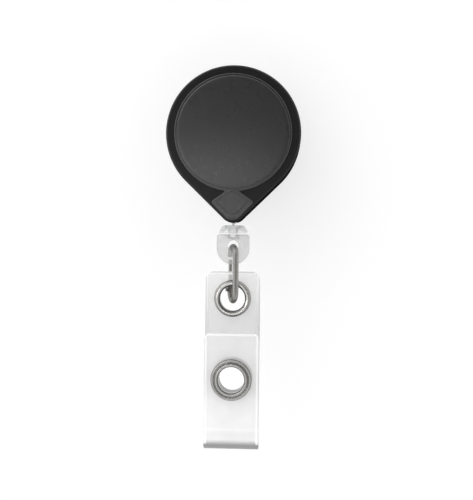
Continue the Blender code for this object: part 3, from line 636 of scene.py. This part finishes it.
def vinyl_look(name, shades, glows, top):
    """Frosted vinyl: cloudy white under painted shade that follows the height, a painted glow up each leg,
    painted highlight lines just inside its cut edges with a painted dark rim outside them, and a painted
    shade band along the bottom of its fold.
    """
    look, tree, shader = new_look(name)
    set_inputs(shader, Metallic=0.0, IOR=1.5, Coat_Weight=0.25, Coat_Roughness=0.12)
    place = tree.nodes.new("ShaderNodeAttribute")
    place.attribute_name = REST_PLACE
    parts = parts_of(tree, place.outputs["Vector"])
    across = computed(tree, "ABSOLUTE", parts["X"])
    height = parts["Z"]

    edge_side = between(tree, across, STRAP_HALF_WIDTH - 0.85 * MM, STRAP_HALF_WIDTH - 0.5 * MM)
    edge = computed(tree, "MAXIMUM", edge_side, between(tree, height, top - 0.85 * MM, top - 0.5 * MM))
    rim_side = between(tree, across, STRAP_HALF_WIDTH - 0.35 * MM, STRAP_HALF_WIDTH - 0.15 * MM)
    rim = computed(tree, "MAXIMUM", rim_side, between(tree, height, top - 0.4 * MM, top - 0.15 * MM))
    # Painted shade on the fold's downward-facing bottom band, which is also made opaque.
    fold = between(tree, height, STRAP_BOTTOM + 1.5 * MM, STRAP_BOTTOM + 1.35 * MM)

    cloudy = blended(tree, spread(tree, noise(tree, 260, 3)), VINYL_DARK, VINYL_LIGHT)
    shaded = blended(tree, by_height(tree, height, shades), (0, 0, 0), cloudy)
    # A painted dark rim along the outermost edge, in the same grey as the fold's painted shade.
    rimmed = blended(tree, computed(tree, "MULTIPLY", rim, 0.35), shaded, VINYL_PAINTED_SHADE)
    tint(tree, shader, fold, rimmed, VINYL_PAINTED_SHADE)

    solid = computed(tree, "MAXIMUM", computed(tree, "MULTIPLY", edge, 0.6), fold)
    tree.links.new(mapped(tree, solid, 0.0, 1.0, *VINYL_ALPHA), shader.inputs["Alpha"])
    # Painted highlight lines just inside the cut edges and a painted glow that follows the height, both
    # given as emission.
    line = computed(tree, "MULTIPLY", computed(tree, "SUBTRACT", edge, rim), 0.14)
    lit = computed(tree, "ADD", line, by_height(tree, height, glows))
    free = computed(tree, "SUBTRACT", 1.0, fold)
    shader.inputs["Emission Color"].default_value = (1, 1, 1, 1)
    tree.links.new(computed(tree, "MULTIPLY", lit, free), shader.inputs["Emission Strength"])
    tree.links.new(spread(tree, noise(tree, 600, 5), 0.28, 0.42), shader.inputs["Roughness"])
    bump(tree, shader, noise(tree, 1400, 3), 0.12, 0.02 * MM)
    return look


def cord_look():
    """Braided nylon: strands that cross on a slant."""
    look, tree, shader = new_look("cord_braid")
    set_inputs(shader, Metallic=0.0, Roughness=0.7)
    place = tree.nodes.new("ShaderNodeTexCoord")
    waves = []
    for slant in (1, -1):
        mapping = tree.nodes.new("ShaderNodeMapping")
        mapping.inputs["Rotation"].default_value = (0, math.radians(35 * slant), 0)
        wave = tree.nodes.new("ShaderNodeTexWave")
        wave.inputs["Scale"].default_value = 900
        tree.links.new(place.outputs["Object"], mapping.inputs["Vector"])
        tree.links.new(mapping.outputs["Vector"], wave.inputs["Vector"])
        waves.append(wave.outputs["Fac"])
    strands = computed(tree, "MAXIMUM", *waves)
    tint(tree, shader, strands, (0.5, 0.5, 0.49), (0.78, 0.78, 0.77))
    bump(tree, shader, strands, 0.5, 0.03 * MM)
    return look


def clear_look(name, colour, rough, alpha, ripple):
    """Clear or frosted plastic, more opaque on faces turned away from the front as a painted reflection of
    its glancing edges, with faint flow ripples from its mould.
    """
    look, tree, shader = new_look(name)
    set_inputs(shader, Metallic=0.0, IOR=1.49, Coat_Weight=0.6, Coat_Roughness=0.05)
    lighter = tuple(c * 1.04 for c in colour)
    tint(tree, shader, spread(tree, noise(tree, 500, 3)), colour, lighter)
    tree.links.new(spread(tree, noise(tree, 1500, 4), *rough), shader.inputs["Roughness"])
    # Painted reflection: more opaque, so whiter, where the surface turns away from Y.
    side_sheen = mapped(tree, facing_front(tree, 1.0, 0.3), 0.0, 1.0, *alpha)
    tree.links.new(side_sheen, shader.inputs["Alpha"])
    bump(tree, shader, noise(tree, 900, 2), ripple, 0.02 * MM)
    return look


VINYL_DARK = (0.8, 0.8, 0.8)
VINYL_LIGHT = (0.86, 0.86, 0.86)
# Grey of the painted shade on the fold and of the painted dark rim along the edges.
VINYL_PAINTED_SHADE = (0.31, 0.31, 0.31)
VINYL_ALPHA = (0.36, 0.97)
BACK_SHADE = [(-75, 1.0), (-58, 0.9), (-47, 0.74), (-38, 0.95), (-32.8, 1.0)]
BACK_GLOW = [(-75, 0.17), (-67, 0.14), (-60, 0.05), (-42, 0.0), (-32.8, 0.06)]
FLAP_SHADE = [(-75, 1.0), (-47, 1.0)]
FLAP_GLOW = [
    (-75, 0.2),
    (-72.6, 0.2),
    (-71.4, 0.13),
    (-70.6, 0.14),
    (-70.1, 0.22),
    (-69.5, 0.14),
    (-66, 0.13),
    (-61, 0.07),
    (-47.2, 0.1),
]
# Painted shade on the rings' flanks and painted highlights on their crests; the snap's painted highlight is
# dimmer than the eyelet's.
RING_FLANK_SHADE = (0.22, 0.215, 0.207)
EYELET_CREST_HIGHLIGHT = (0.97, 0.96, 0.94)
SNAP_CREST_HIGHLIGHT = (0.72, 0.71, 0.69)

SHELL = shell_look()
FACE = moulded(
    "face_plastic",
    (0.0145, 0.0145, 0.0147),
    (0.0165, 0.0165, 0.0167),
    (0.27, 0.31),
    Specular_IOR_Level=1.0,
)
# White nylon with a painted glow: a weak emission that lifts its shaded side.
GLOWING_WHITE = moulded(
    "white_nylon",
    (0.86, 0.86, 0.85),
    (0.92, 0.92, 0.91),
    (0.2, 0.28),
    Emission_Color=(1, 1, 1, 1),
    Emission_Strength=0.22,
)
DRUM_GREY = moulded("drum_acetal", (0.3, 0.3, 0.31), (0.36, 0.36, 0.37), (0.42, 0.55))
CLEAR = clear_look("clear_styrene", (0.68, 0.69, 0.69), (0.04, 0.09), (0.14, 0.75), 0.05)
FROSTED = clear_look("frosted_styrene", (0.62, 0.62, 0.62), (0.3, 0.4), (0.34, 0.85), 0.12)
BACK_VINYL = vinyl_look("back_vinyl", BACK_SHADE, BACK_GLOW, BACK_LEG_HIGH.z)
FLAP_VINYL = vinyl_look("flap_vinyl", FLAP_SHADE, FLAP_GLOW, FLAP_HIGH.z)
CORD = cord_look()
EYELET_NICKEL = ring_look("eyelet_nickel", RING_FLANK_SHADE, EYELET_CREST_HIGHLIGHT)
SNAP_NICKEL = ring_look("snap_nickel", RING_FLANK_SHADE, SNAP_CREST_HIGHLIGHT)
WIRE = plated("nickel_wire", (0.25, 0.244, 0.234), (0.31, 0.304, 0.292), (0.42, 0.5), (1, 1, 0.1))
STEEL = plated("clip_steel", (0.5, 0.5, 0.5), (0.62, 0.62, 0.61), (0.24, 0.36), (1, 1, 0.06))
SPRING = plated("spring_steel", (0.3, 0.32, 0.36), (0.4, 0.43, 0.48), (0.25, 0.35), (1, 0.1, 1))


# ---------------------------------------------------------------- case


def seam_sections(seam_y, away, inside_y):
    """A shell's open side, from inside its wall to its bevelled seam; away points from the seam."""
    sections = [
        (WALL, inside_y),
        (WALL, seam_y),
        (SEAM_BEVEL, seam_y),
        (SEAM_BEVEL / 4, seam_y + away * SEAM_BEVEL / 3),
        (0, seam_y + away * SEAM_BEVEL),
    ]
    return [at_depth(teardrop(inset), y) for inset, y in sections]


def make_front_shell():
    rings = seam_sections(SEAM_FRONT_Y, -1, FRONT_INSIDE_Y)
    for inset, drop in quarter_turn(8):
        rings.append(at_depth(teardrop(SHOULDER_INSET * inset), RIM_Y + SHOULDER_DEPTH * drop))
    weigh_normals(make("case_front", skin(rings), SHELL, "case", ["front_shell"]))


def make_field():
    turns = [math.tau * i / ROUND_STEPS for i in range(ROUND_STEPS)]
    recess = [(RECESS_RADIUS * math.cos(turn), RECESS_RADIUS * math.sin(turn)) for turn in turns]
    holes = [recess, rhombus(INLAY_INSET - GROOVE)]
    field = plate_with_holes(field_outline(), holes, FIELD_BASE_Y, FIELD_Y, FIELD_BEVEL, RECESS_DEPTH)
    weigh_normals(make("case_field", field, FACE, "case"))


def make_inlay():
    front = FIELD_Y - SET_BACK
    rings = [at_depth(rhombus(INLAY_INSET), FIELD_Y + 0.3 * MM)]
    for inset, drop in quarter_turn(3):
        rings.append(at_depth(rhombus(INLAY_INSET + INLAY_BEVEL * inset), front + INLAY_BEVEL * drop))
    weigh_normals(make("case_inlay", skin(rings), FACE, "case", ["tip_inlay"]))


def make_rear_shell():
    rings = []
    for rise, inset in quarter_turn(6):
        rings.append(at_depth(teardrop(BACK_ROUND_INSET * inset), -BACK_ROUND_DEPTH * rise))
    rings += reversed(seam_sections(SEAM_REAR_Y, 1, REAR_INSIDE_Y))
    weigh_normals(make("case_rear", skin(rings), SHELL, "case", ["rear_shell"]))


def disc_edge(angle):
    """The face disc's edge radius at an angle: nearly sharp at the neck and rounder at the top."""
    rise = min((math.sin(angle) + 1) / 1.3, 1)
    return DISC_EDGE_LOW + (DISC_EDGE_TOP - DISC_EDGE_LOW) * rise * rise * (3 - 2 * rise)


def make_face_disc():
    """The round face plate: slightly domed, its first ring closed up to a point at its middle."""
    dome = FIELD_Y - SET_BACK - PLATE_LOW.y
    rows = 18
    angles = [math.tau * i / ROUND_STEPS for i in range(ROUND_STEPS)]
    edges = [disc_edge(angle) for angle in angles]
    sections = []
    for row in range(rows + 1):
        reaches = [(DISC_RADIUS - edge) * row / rows for edge in edges]
        sections.append([(reach, PLATE_LOW.y + dome * (reach / DISC_RADIUS) ** 2) for reach in reaches])
    for drop, inset in list(quarter_turn(5))[1:]:
        back = PLATE_LOW.y + dome
        sections.append([(DISC_RADIUS - edge * inset, back + 0.6 * edge * drop) for edge in edges])
    sections.append([(DISC_RADIUS, PLATE_HIGH.y)] * ROUND_STEPS)
    rings = []
    for section in sections:
        spots = zip(angles, section)
        rings.append([(reach * math.cos(angle), y, reach * math.sin(angle)) for angle, (reach, y) in spots])
    make("face_disc", skin(rings, cap_start=False), FACE, "case", ["face_plate"], sharp=50)


# ---------------------------------------------------------------- cord end


def turned_on_cord(name, corners, steps, look, body, nodes, sides=96):
    """A piece turned about the cord's line from (radius, z, edge radius) corners."""
    bm = lathe(rounded_loop(corners, steps), "Z", (0, CORD_Y, 0), sides)
    return make(name, bm, look, body, nodes)


def make_collar():
    corners = [
        (1.2 * MM, -22.4 * MM, 0.05 * MM),
        (1.9 * MM, -22.4 * MM, 0.1 * MM),
        (2.1 * MM, COLLAR_HIGH.z, 0.08 * MM),
        (2.55 * MM, COLLAR_HIGH.z, 0.15 * MM),
        (COLLAR_HIGH.x, -23.0 * MM, 0.4 * MM),
        (COLLAR_HIGH.x, COLLAR_LOW.z, 0.15 * MM),
        (1.2 * MM, COLLAR_LOW.z, 0.05 * MM),
    ]
    turned_on_cord("collar_clear", corners, 6, CLEAR, "cord_end", ["stop_collar"])


def make_barrel():
    """The white swivel barrel: a head inside the collar, a waist and the spigot down to the tag."""
    bore = 0.62 * MM
    head = 1.65 * MM
    waist = 1.12 * MM
    spigot = 0.98 * MM
    corners = [
        (bore, BARREL_HIGH.z, 0.05 * MM),
        (head, BARREL_HIGH.z, 0.1 * MM),
        (head, BARREL_HIGH.z - 0.35 * MM, 0.1 * MM),
        (waist, BARREL_HIGH.z - 0.45 * MM, 0.1 * MM),
        (waist, -23.65 * MM, 0.05 * MM),
        (spigot, -23.7 * MM, 0.02 * MM),
        (spigot, BARREL_LOW.z, 0.2 * MM),
        (bore, BARREL_LOW.z, 0.05 * MM),
    ]
    turned_on_cord("barrel_white", corners, 4, GLOWING_WHITE, "tag", ["swivel_barrel"])


def make_tag():
    """The frosted tag: a flat tongue with a round lower end, round edges and an eye."""
    half_width = TAG_HIGH.x
    centre_z = TAG_LOW.z + half_width
    outline = []
    for i in range(49):
        angle = math.pi + math.pi * i / 48
        outline.append((half_width * math.cos(angle), centre_z + half_width * math.sin(angle)))
    corners = [
        (half_width, centre_z, 0),
        (half_width, TAG_HIGH.z, TAG_CORNER),
        (-half_width, TAG_HIGH.z, TAG_CORNER),
        (-half_width, centre_z, 0),
    ]
    outline += rounded_loop(corners, steps=6)[1:-1]
    rounding = list(quarter_turn(4))
    rings = []
    for side, turns in ((-1, rounding), (1, reversed(rounding))):
        for drop, inset in turns:
            y = CORD_Y + side * (TAG_HALF_THICKNESS - TAG_EDGE * drop)
            rings.append(at_depth(moved_in(outline, TAG_EDGE * inset), y))
    tag = make("tag_frosted", skin(rings), FROSTED, None, ["eye_tag"])
    cut_holes(tag, [(CORD_Y, TAG_EYE_Z, TAG_EYE_RADIUS)], 3 * MM)
    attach(tag, "tag")


def make_tag_socket():
    """The clear cup in the tag's middle that holds the barrel's spigot."""
    bore = 1.0 * MM
    outside = 1.55 * MM
    middle = 0.02 * MM
    bottom = -25.1 * MM
    inside_bottom = -24.75 * MM
    corners = [
        (bore, TAG_HIGH.z - 0.02 * MM, 0.03 * MM),
        (outside, TAG_HIGH.z - 0.02 * MM, 0.2 * MM),
        (outside, bottom, 0.5 * MM),
        (middle, bottom, 0),
        (middle, inside_bottom, 0),
        (bore, inside_bottom, 0.1 * MM),
    ]
    turned_on_cord("tag_socket", corners, 5, CLEAR, "tag", (), 48)


def make_mouth_bush():
    bore = 0.62 * MM
    outside = 0.95 * MM
    tip_end = TIP_Z - TIP_RADIUS
    corners = [
        (bore, GUIDE_HIGH.z, 0.08 * MM),
        (outside, GUIDE_HIGH.z, 0.05 * MM),
        (outside, tip_end, 0.05 * MM),
        (bore, tip_end, 0.15 * MM),
    ]
    turned_on_cord("mouth_bush", corners, 4, GLOWING_WHITE, "case", ["cord_guide"], 48)


def make_cord():
    """The cord between the case's mouth and the collar."""
    spans = 12
    drop = COLLAR_LOW.z + CORD_RADIUS - MOUTH_Z
    path = [(0, CORD_Y, MOUTH_Z + drop * i / spans) for i in range(spans + 1)]
    bm = skin(sweep(path, [CORD_RADIUS] * len(path), 20))
    cord = make("cord_stretch", bm, CORD, None, ["cord_end"])
    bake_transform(cord)


# ---------------------------------------------------------------- hook


def make_on_hook(name, bm, body, nodes=()):
    """A piece of the hook, turned with the whole hook about the cord's line."""
    axis = Matrix.Translation((0, CORD_Y, 0))
    bm.transform(axis @ Matrix.Rotation(HOOK_TURN, 4, "Z") @ axis.inverted())
    make(name, bm, WIRE, body, nodes)


def hook_bend(middle_z, start):
    """Points of one rounded end of the hook's loop, half a turn from the start angle."""
    steps = 36
    points = []
    for i in range(steps + 1):
        angle = start + math.pi * i / steps
        y = CORD_Y + HOOK_HALF_DEPTH * math.cos(angle)
        points.append((0, y, middle_z + HOOK_BEND * math.sin(angle)))
    return points


def make_hook_wire():
    """The bent wire: from its nose over the top, down the front strand and up to the gate's cheeks."""
    top = HOOK_TOP_Z - HOOK_BEND
    bottom = HOOK_BOTTOM_Z + HOOK_BEND
    path = [(0, HOOK_REAR_Y, NOSE_Z + HOOK_WIRE * 0.7)]
    path += hook_bend(top, 0)
    path += [(0, HOOK_FRONT_Y, top + (bottom - top) * i / 8) for i in range(1, 8)]
    path += hook_bend(bottom, math.pi)
    points, radii = domed_ends(path, HOOK_WIRE)
    make_on_hook("hook_wire", skin(sweep(points, radii)), "hook", ["hook_body"])


def make_hook_cheeks():
    """The two flattened cheeks that hold the gate's rivet."""
    corners = [
        (HOOK_REAR_Y - 0.62 * MM, GATE_Z - 1.3 * MM, 0.2 * MM),
        (HOOK_REAR_Y + 0.62 * MM, GATE_Z - 1.3 * MM, 0.2 * MM),
        (HOOK_REAR_Y + 0.85 * MM, GATE_Z + 0.2 * MM, 0.5 * MM),
        (HOOK_REAR_Y, GATE_Z + 0.95 * MM, 0.5 * MM),
        (HOOK_REAR_Y - 0.85 * MM, GATE_Z + 0.2 * MM, 0.5 * MM),
    ]
    outline = rounded_loop(corners, steps=6)
    bevel = 0.06 * MM
    cheeks = bmesh.new()
    for side in (-1, 1):
        rings = []
        for x, inset in ((0.78, bevel), (0.84, 0), (1.06, 0), (1.12, bevel)):
            rings.append([(side * x * MM, y, z) for y, z in moved_in(outline, inset)])
        add_mesh(cheeks, skin(rings))
    make_on_hook("hook_cheeks", cheeks, "hook")


def make_hook_pin():
    """The gate's rivet: a pin with a head at each end, from (radius, x, edge radius) corners."""
    half = [(0.28, 1.2, 0), (0.6, 1.2, 0), (0.6, 1.4, 0.18), (0, 1.4, 0)]
    corners = [(radius, -x, edge) for radius, x, edge in reversed(half)] + half
    profile = rounded_loop(in_metres(corners), steps=4, closed=False)
    bm = lathe(profile, "X", (0, HOOK_REAR_Y, GATE_Z), 32, closed=False)
    make_on_hook("hook_pin", bm, "hook", ["gate_rivet"])


def make_gate():
    """The spring gate: a thin arm on a knuckle that turns on the rivet."""
    foot = (0, HOOK_REAR_Y, GATE_Z + 0.3 * MM)
    arm, radii = domed_ends([foot, (0, HOOK_REAR_Y, GATE_TOP_Z - GATE_WIRE)], GATE_WIRE)
    gate = skin(sweep(arm, radii, 24))
    knuckle = [(0.42, -0.5, 0.03), (0.75, -0.5, 0.12), (0.75, 0.5, 0.12), (0.42, 0.5, 0.03)]
    add_mesh(gate, lathe(rounded_loop(in_metres(knuckle)), "X", (0, HOOK_REAR_Y, GATE_Z), 40))
    make_on_hook("gate_wire", gate, "gate", ["hook_gate"])


# ---------------------------------------------------------------- strap


def strap_piece(name, stations, look, node, holes):
    """One leg of the strap, cut for its rings and with its rest places kept for its pattern."""
    rings = strip_rings(stations, STRAP_THICKNESS, STRAP_EDGE)
    piece = make(name, skin(rings, cap_end=False), look, None, [node])
    cut_holes(piece, holes, STRAP_CUT)
    keep_rest_places(piece)
    return piece


def make_strap_back():
    """The back leg and the fold at its foot, up to where the flap starts."""
    half = STRAP_HALF_WIDTH
    stations = rounded_end(half, STRAP_CORNER, BACK_LEG_HIGH.z, BACK_LEG_Y, -1)
    stations += straight(BACK_LEG_Y, BACK_LEG_HIGH.z - STRAP_CORNER, FOLD_Z, half, 40)
    bends = 20
    for i in range(bends + 1):
        angle = math.pi * i / bends
        y = BACK_LEG_Y - FOLD_RADIUS + FOLD_RADIUS * math.cos(angle)
        stations.append((y, FOLD_Z - FOLD_RADIUS * math.sin(angle), half, 1.0))
    holes = [(BACK_LEG_Y, EYELET_Z, EYELET_BORE), (BACK_LEG_Y, SNAP_Z, SNAP_BORE)]
    back = strap_piece("strap_back_vinyl", stations, BACK_VINYL, "strap_back", holes)
    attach(back, "strap")


def make_strap_flap():
    """The front flap, from its rounded top down to the fold."""
    half = STRAP_HALF_WIDTH
    stations = rounded_end(half, STRAP_CORNER, FLAP_HIGH.z, FLAP_Y, -1)
    stations += straight(FLAP_Y, FLAP_HIGH.z - STRAP_CORNER, FLAP_LOW.z, half, 24)
    drop = FOLD_Z - FLAP_LOW.z
    spans = 10
    stations += [(FLAP_Y, FLAP_LOW.z + drop * i / spans, half, 1.0) for i in range(spans + 1)]
    holes = [(FLAP_Y, SNAP_Z, SNAP_BORE)]
    flap = strap_piece("strap_flap_vinyl", stations, FLAP_VINYL, "strap_flap", holes)
    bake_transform(flap)


def make_ring(name, z, look, body, node, corners):
    """A nickel ring through the strap at height z, from (radius, y, edge radius) corners in millimetres."""
    profile = rounded_loop(in_metres(corners), steps=5)
    make(name, lathe(profile, "Y", (0, 0, z), 112), look, body, [node])


def make_eyelet():
    roll = [
        (3.0, -4.95, 0.35),
        (3.25, -5.35, 0.3),
        (3.85, -5.5, 0.6),
        (4.4, -5.0, 0.25),
        (4.4, -4.65, 0.08),
        (3.3, -4.6, 0.05),
        (3.3, -2.7, 0.05),
        (3.0, -2.7, 0.05),
    ]
    make_ring("eyelet_roll", EYELET_Z, EYELET_NICKEL, "strap", "eyelet_grommet", roll)
    back = [
        (3.4, -2.72, 0.1),
        (3.65, -2.55, 0.1),
        (4.25, -2.75, 0.15),
        (4.4, -3.1, 0.08),
        (4.3, -3.2, 0.02),
        (3.4, -3.2, 0.02),
    ]
    make_ring("eyelet_back", EYELET_Z, EYELET_NICKEL, "strap", "eyelet_washer", back)


def make_snap():
    """The snap's four rings: post and stud on the back leg, socket and cap on the flap."""
    post = [
        (3.1, -2.6, 0.15),
        (3.6, -2.45, 0.2),
        (4.6, -2.65, 0.2),
        (4.9, -3.0, 0.12),
        (4.85, -3.2, 0.04),
        (3.4, -3.2, 0.04),
        (3.4, -4.25, 0.04),
        (3.1, -4.25, 0.08),
    ]
    make_ring("snap_post_ring", SNAP_Z, SNAP_NICKEL, "strap", "snap_post", post)
    stud = [
        (3.1, -4.62, 0.05),
        (4.7, -4.62, 0.1),
        (4.7, -4.95, 0.15),
        (4.2, -5.1, 0.15),
        (3.75, -5.1, 0.1),
        (3.55, -5.35, 0.1),
        (3.5, -5.75, 0.12),
        (3.1, -5.75, 0.12),
    ]
    make_ring("snap_stud_ring", SNAP_Z, SNAP_NICKEL, "strap", "snap_stud", stud)
    socket = [
        (3.75, -5.95, 0.05),
        (4.65, -5.95, 0.1),
        (4.65, -5.5, 0.2),
        (4.3, -5.3, 0.15),
        (3.9, -5.3, 0.15),
        (3.75, -5.5, 0.1),
    ]
    make_ring("snap_socket_ring", SNAP_Z, SNAP_NICKEL, "flap", "snap_socket", socket)
    cap = [
        (3.1, -6.05, 0.05),
        (3.1, -7.75, 0.25),
        (3.3, -8.1, 0.25),
        (3.85, -8.1, 0.3),
        (4.1, -7.45, 0.12),
        (4.25, -7.75, 0.15),
        (4.75, -7.75, 0.25),
        (4.9, -7.4, 0.12),
        (4.8, -7.15, 0.05),
        (3.4, -7.12, 0.02),
        (3.4, -6.05, 0.05),
    ]
    make_ring("snap_cap_ring", SNAP_Z, SNAP_NICKEL, "flap", "snap_cap", cap)


# ---------------------------------------------------------------- belt clip


def make_clip():
    """The spring clip: a base under the rivet, the bend over its top, and a tongue with a lip."""
    half = CLIP_HIGH.x
    stations = rounded_end(half, CLIP_CORNER, CLIP_BASE_BOTTOM, CLIP_BASE_Y, 1)
    stations += straight(CLIP_BASE_Y, CLIP_BASE_BOTTOM + CLIP_CORNER, CLIP_BEND_Z, half, 16)
    bends = 24
    for i in range(bends + 1):
        angle = math.pi - math.pi * i / bends
        y = CLIP_BASE_Y + CLIP_BEND + CLIP_BEND * math.cos(angle)
        stations.append((y, CLIP_BEND_Z + CLIP_BEND * math.sin(angle), half, 1.0))
    stations += straight(TONGUE_Y, CLIP_BEND_Z, TONGUE_BOTTOM, half, 16)
    lips = 12
    for i in range(lips + 1):
        turn = LIP_TURN * i / lips
        y = TONGUE_Y + LIP_RADIUS * (1 - math.cos(turn))
        thinned = 1.0 if i < lips - 1 else 0.8 - 0.2 * (i - lips + 1)
        width = half - LIP_NARROWING * (i / lips) ** 2
        stations.append((y, TONGUE_BOTTOM - LIP_RADIUS * math.sin(turn), width, thinned))
    rings = strip_rings(stations, CLIP_THICKNESS, CLIP_EDGE)
    clip = make("clip_spring", skin(rings), STEEL, None, ["belt_clip"])
    cut_holes(clip, [(CLIP_BASE_Y, 0, 1.5 * MM), (TONGUE_Y, 0, 2.7 * MM)], 1.0 * MM)
    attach(clip, "belt_clip")


def make_rivet():
    corners = [
        (0.7, -1.5, 0.08),
        (2.2, -1.5, 0.15),
        (2.2, -1.1, 0.05),
        (1.2, -1.1, 0),
        (1.2, 2.0, 0),
        (2.2, 2.0, 0.08),
        (2.1, 2.3, 0.25),
        (1.3, 2.4, 0.2),
        (0.7, 1.9, 0.1),
    ]
    bm = lathe(rounded_loop(in_metres(corners), steps=5), steps=72)
    make("clip_rivet_rolled", bm, STEEL, "belt_clip", ["clip_rivet"])


def make_washer():
    corners = [(1.5, 0.3, 0.05), (3.5, 0.3, 0.12), (3.5, 0.7, 0.12), (1.5, 0.7, 0.05)]
    bm = lathe(rounded_loop(in_metres(corners)), steps=72)
    make("clip_washer_disc", bm, GLOWING_WHITE, "belt_clip", ["clip_washer"])


def dress_inside():
    """Finishes of the CAD nodes that stay: the works inside the case and the knot."""
    looks = {
        "drum": DRUM_GREY,
        "drum_cover": DRUM_GREY,
        "spring_arbor": DRUM_GREY,
        "power_spring": SPRING,
        "cord_winding": CORD,
        "cord_lead": CORD,
        "cord_knot": CORD,
    }
    for name, look in looks.items():
        mesh = frame["nodes"][name].data
        mesh.materials.clear()
        mesh.materials.append(look)


# ---------------------------------------------------------------- stage


def make_stage():
    """A plain pale floor a metre below the reel, and a pale one-sided wall just behind it."""
    wall_y = 9.6 * MM
    reach = 1.6
    floor_z = -1.0
    pale, _, shader = new_look("stage_pale")
    set_inputs(shader, Base_Color=(0.86, 0.86, 0.86, 1), Roughness=0.9)
    bm = bmesh.new()
    corners = [(-reach, -reach), (reach, -reach), (reach, reach), (-reach, reach)]
    bm.faces.new([bm.verts.new((x, y, floor_z)) for x, y in corners])
    floor = make("floor", bm, pale)

    card, tree, shader = new_look("stage_wall")
    set_inputs(shader, Base_Color=(0.5, 0.5, 0.5, 1), Roughness=0.9)
    set_inputs(shader, Emission_Color=(1, 1, 1, 1), Emission_Strength=0.54)
    facing = tree.nodes.new("ShaderNodeNewGeometry")
    see_through = tree.nodes.new("ShaderNodeBsdfTransparent")
    mix = tree.nodes.new("ShaderNodeMixShader")
    tree.links.new(facing.outputs["Backfacing"], mix.inputs["Fac"])
    tree.links.new(shader.outputs["BSDF"], mix.inputs[1])
    tree.links.new(see_through.outputs["BSDF"], mix.inputs[2])
    tree.links.new(mix.outputs["Shader"], tree.nodes["Material Output"].inputs["Surface"])
    mesh = bpy.data.meshes.new("wall")
    corners = [(-reach, floor_z), (reach, floor_z), (reach, reach), (-reach, reach)]
    mesh.from_pydata([(x, wall_y, z) for x, z in corners], [], [(0, 1, 2, 3)])
    mesh.materials.append(card)
    wall = bpy.data.objects.new("wall", mesh)
    bpy.context.scene.collection.objects.link(wall)


def area_light(name, place, target, size, power):
    """A soft white panel at a place, aimed at target and hidden from the camera."""
    data = bpy.data.lights.new(name, "AREA")
    data.shape = "RECTANGLE"
    data.size, data.size_y = size
    data.energy = power
    lamp = bpy.data.objects.new(name, data)
    lamp.location = place
    lamp.rotation_mode = "QUATERNION"
    lamp.rotation_quaternion = (Vector(target) - Vector(place)).to_track_quat("-Z", "Y")
    lamp.visible_camera = False
    bpy.context.scene.collection.objects.link(lamp)


def make_lights():
    """Three soft white panels behind the camera: a large key high at the left, a thin strip level with the
    reel and a wide low panel.
    """
    middle = (0, 0, -0.03)
    area_light("key", (-0.45, -0.5, 0.5), middle, (0.6, 0.6), 0.9)
    area_light("strip", (-0.2, -0.6, 0.0), (0, 0, -0.02), (0.5, 0.055), 0.27)
    area_light("bounce", (-0.05, -0.6, -0.18), middle, (0.8, 0.28), 0.28)


def make_world():
    """The studio's surroundings: levels from behind the camera to behind the reel, brighter at the left."""
    world = bpy.data.worlds.new("studio")
    bpy.context.scene.world = world
    world.use_nodes = True
    tree = world.node_tree
    background = tree.nodes["Background"]
    place = tree.nodes.new("ShaderNodeTexCoord")
    parts = parts_of(tree, place.outputs["Generated"])
    levels = [(0.02, 0.05), (0.35, 1.0), (0.55, 1.0), (0.8, 0.6)]
    ramp = grey_ramp(tree, mapped(tree, parts["Y"], -1.0, 1.0), levels)
    ramp.color_ramp.interpolation = "EASE"
    tree.links.new(ramp.outputs["Color"], background.inputs["Color"])
    left = 2.15
    right = 1.5
    tree.links.new(mapped(tree, parts["X"], -1.0, 1.0, left, right), background.inputs["Strength"])
    bpy.context.scene.view_settings.view_transform = "Standard"


def make_camera():
    """A camera just right of straight on and level with the hook."""
    target = Vector((1.0, -7.0, -27.62)) * MM
    yaw = math.radians(3.5)
    roll = math.radians(0.5)
    distance = 185 * MM
    data = bpy.data.cameras.new("camera")
    data.lens = 56.4
    data.sensor_width = 36.0
    data.clip_start = 0.01
    camera = bpy.data.objects.new("camera", data)
    away = Vector((math.sin(yaw), -math.cos(yaw), 0))
    camera.location = target + away * distance
    look = (-away).to_track_quat("-Z", "Y").to_matrix().to_4x4()
    camera.rotation_mode = "QUATERNION"
    camera.rotation_quaternion = (look @ Matrix.Rotation(roll, 4, "Z")).to_quaternion()
    bpy.context.scene.collection.objects.link(camera)
    bpy.context.scene.camera = camera


make_camera()
make_front_shell()
make_field()
make_inlay()
make_rear_shell()
make_face_disc()
make_collar()
make_barrel()
make_tag()
make_tag_socket()
make_mouth_bush()
make_cord()
make_hook_wire()
make_hook_cheeks()
make_hook_pin()
make_gate()
make_strap_back()
make_strap_flap()
make_eyelet()
make_snap()
make_clip()
make_rivet()
make_washer()
dress_inside()
make_stage()
make_lights()
make_world()
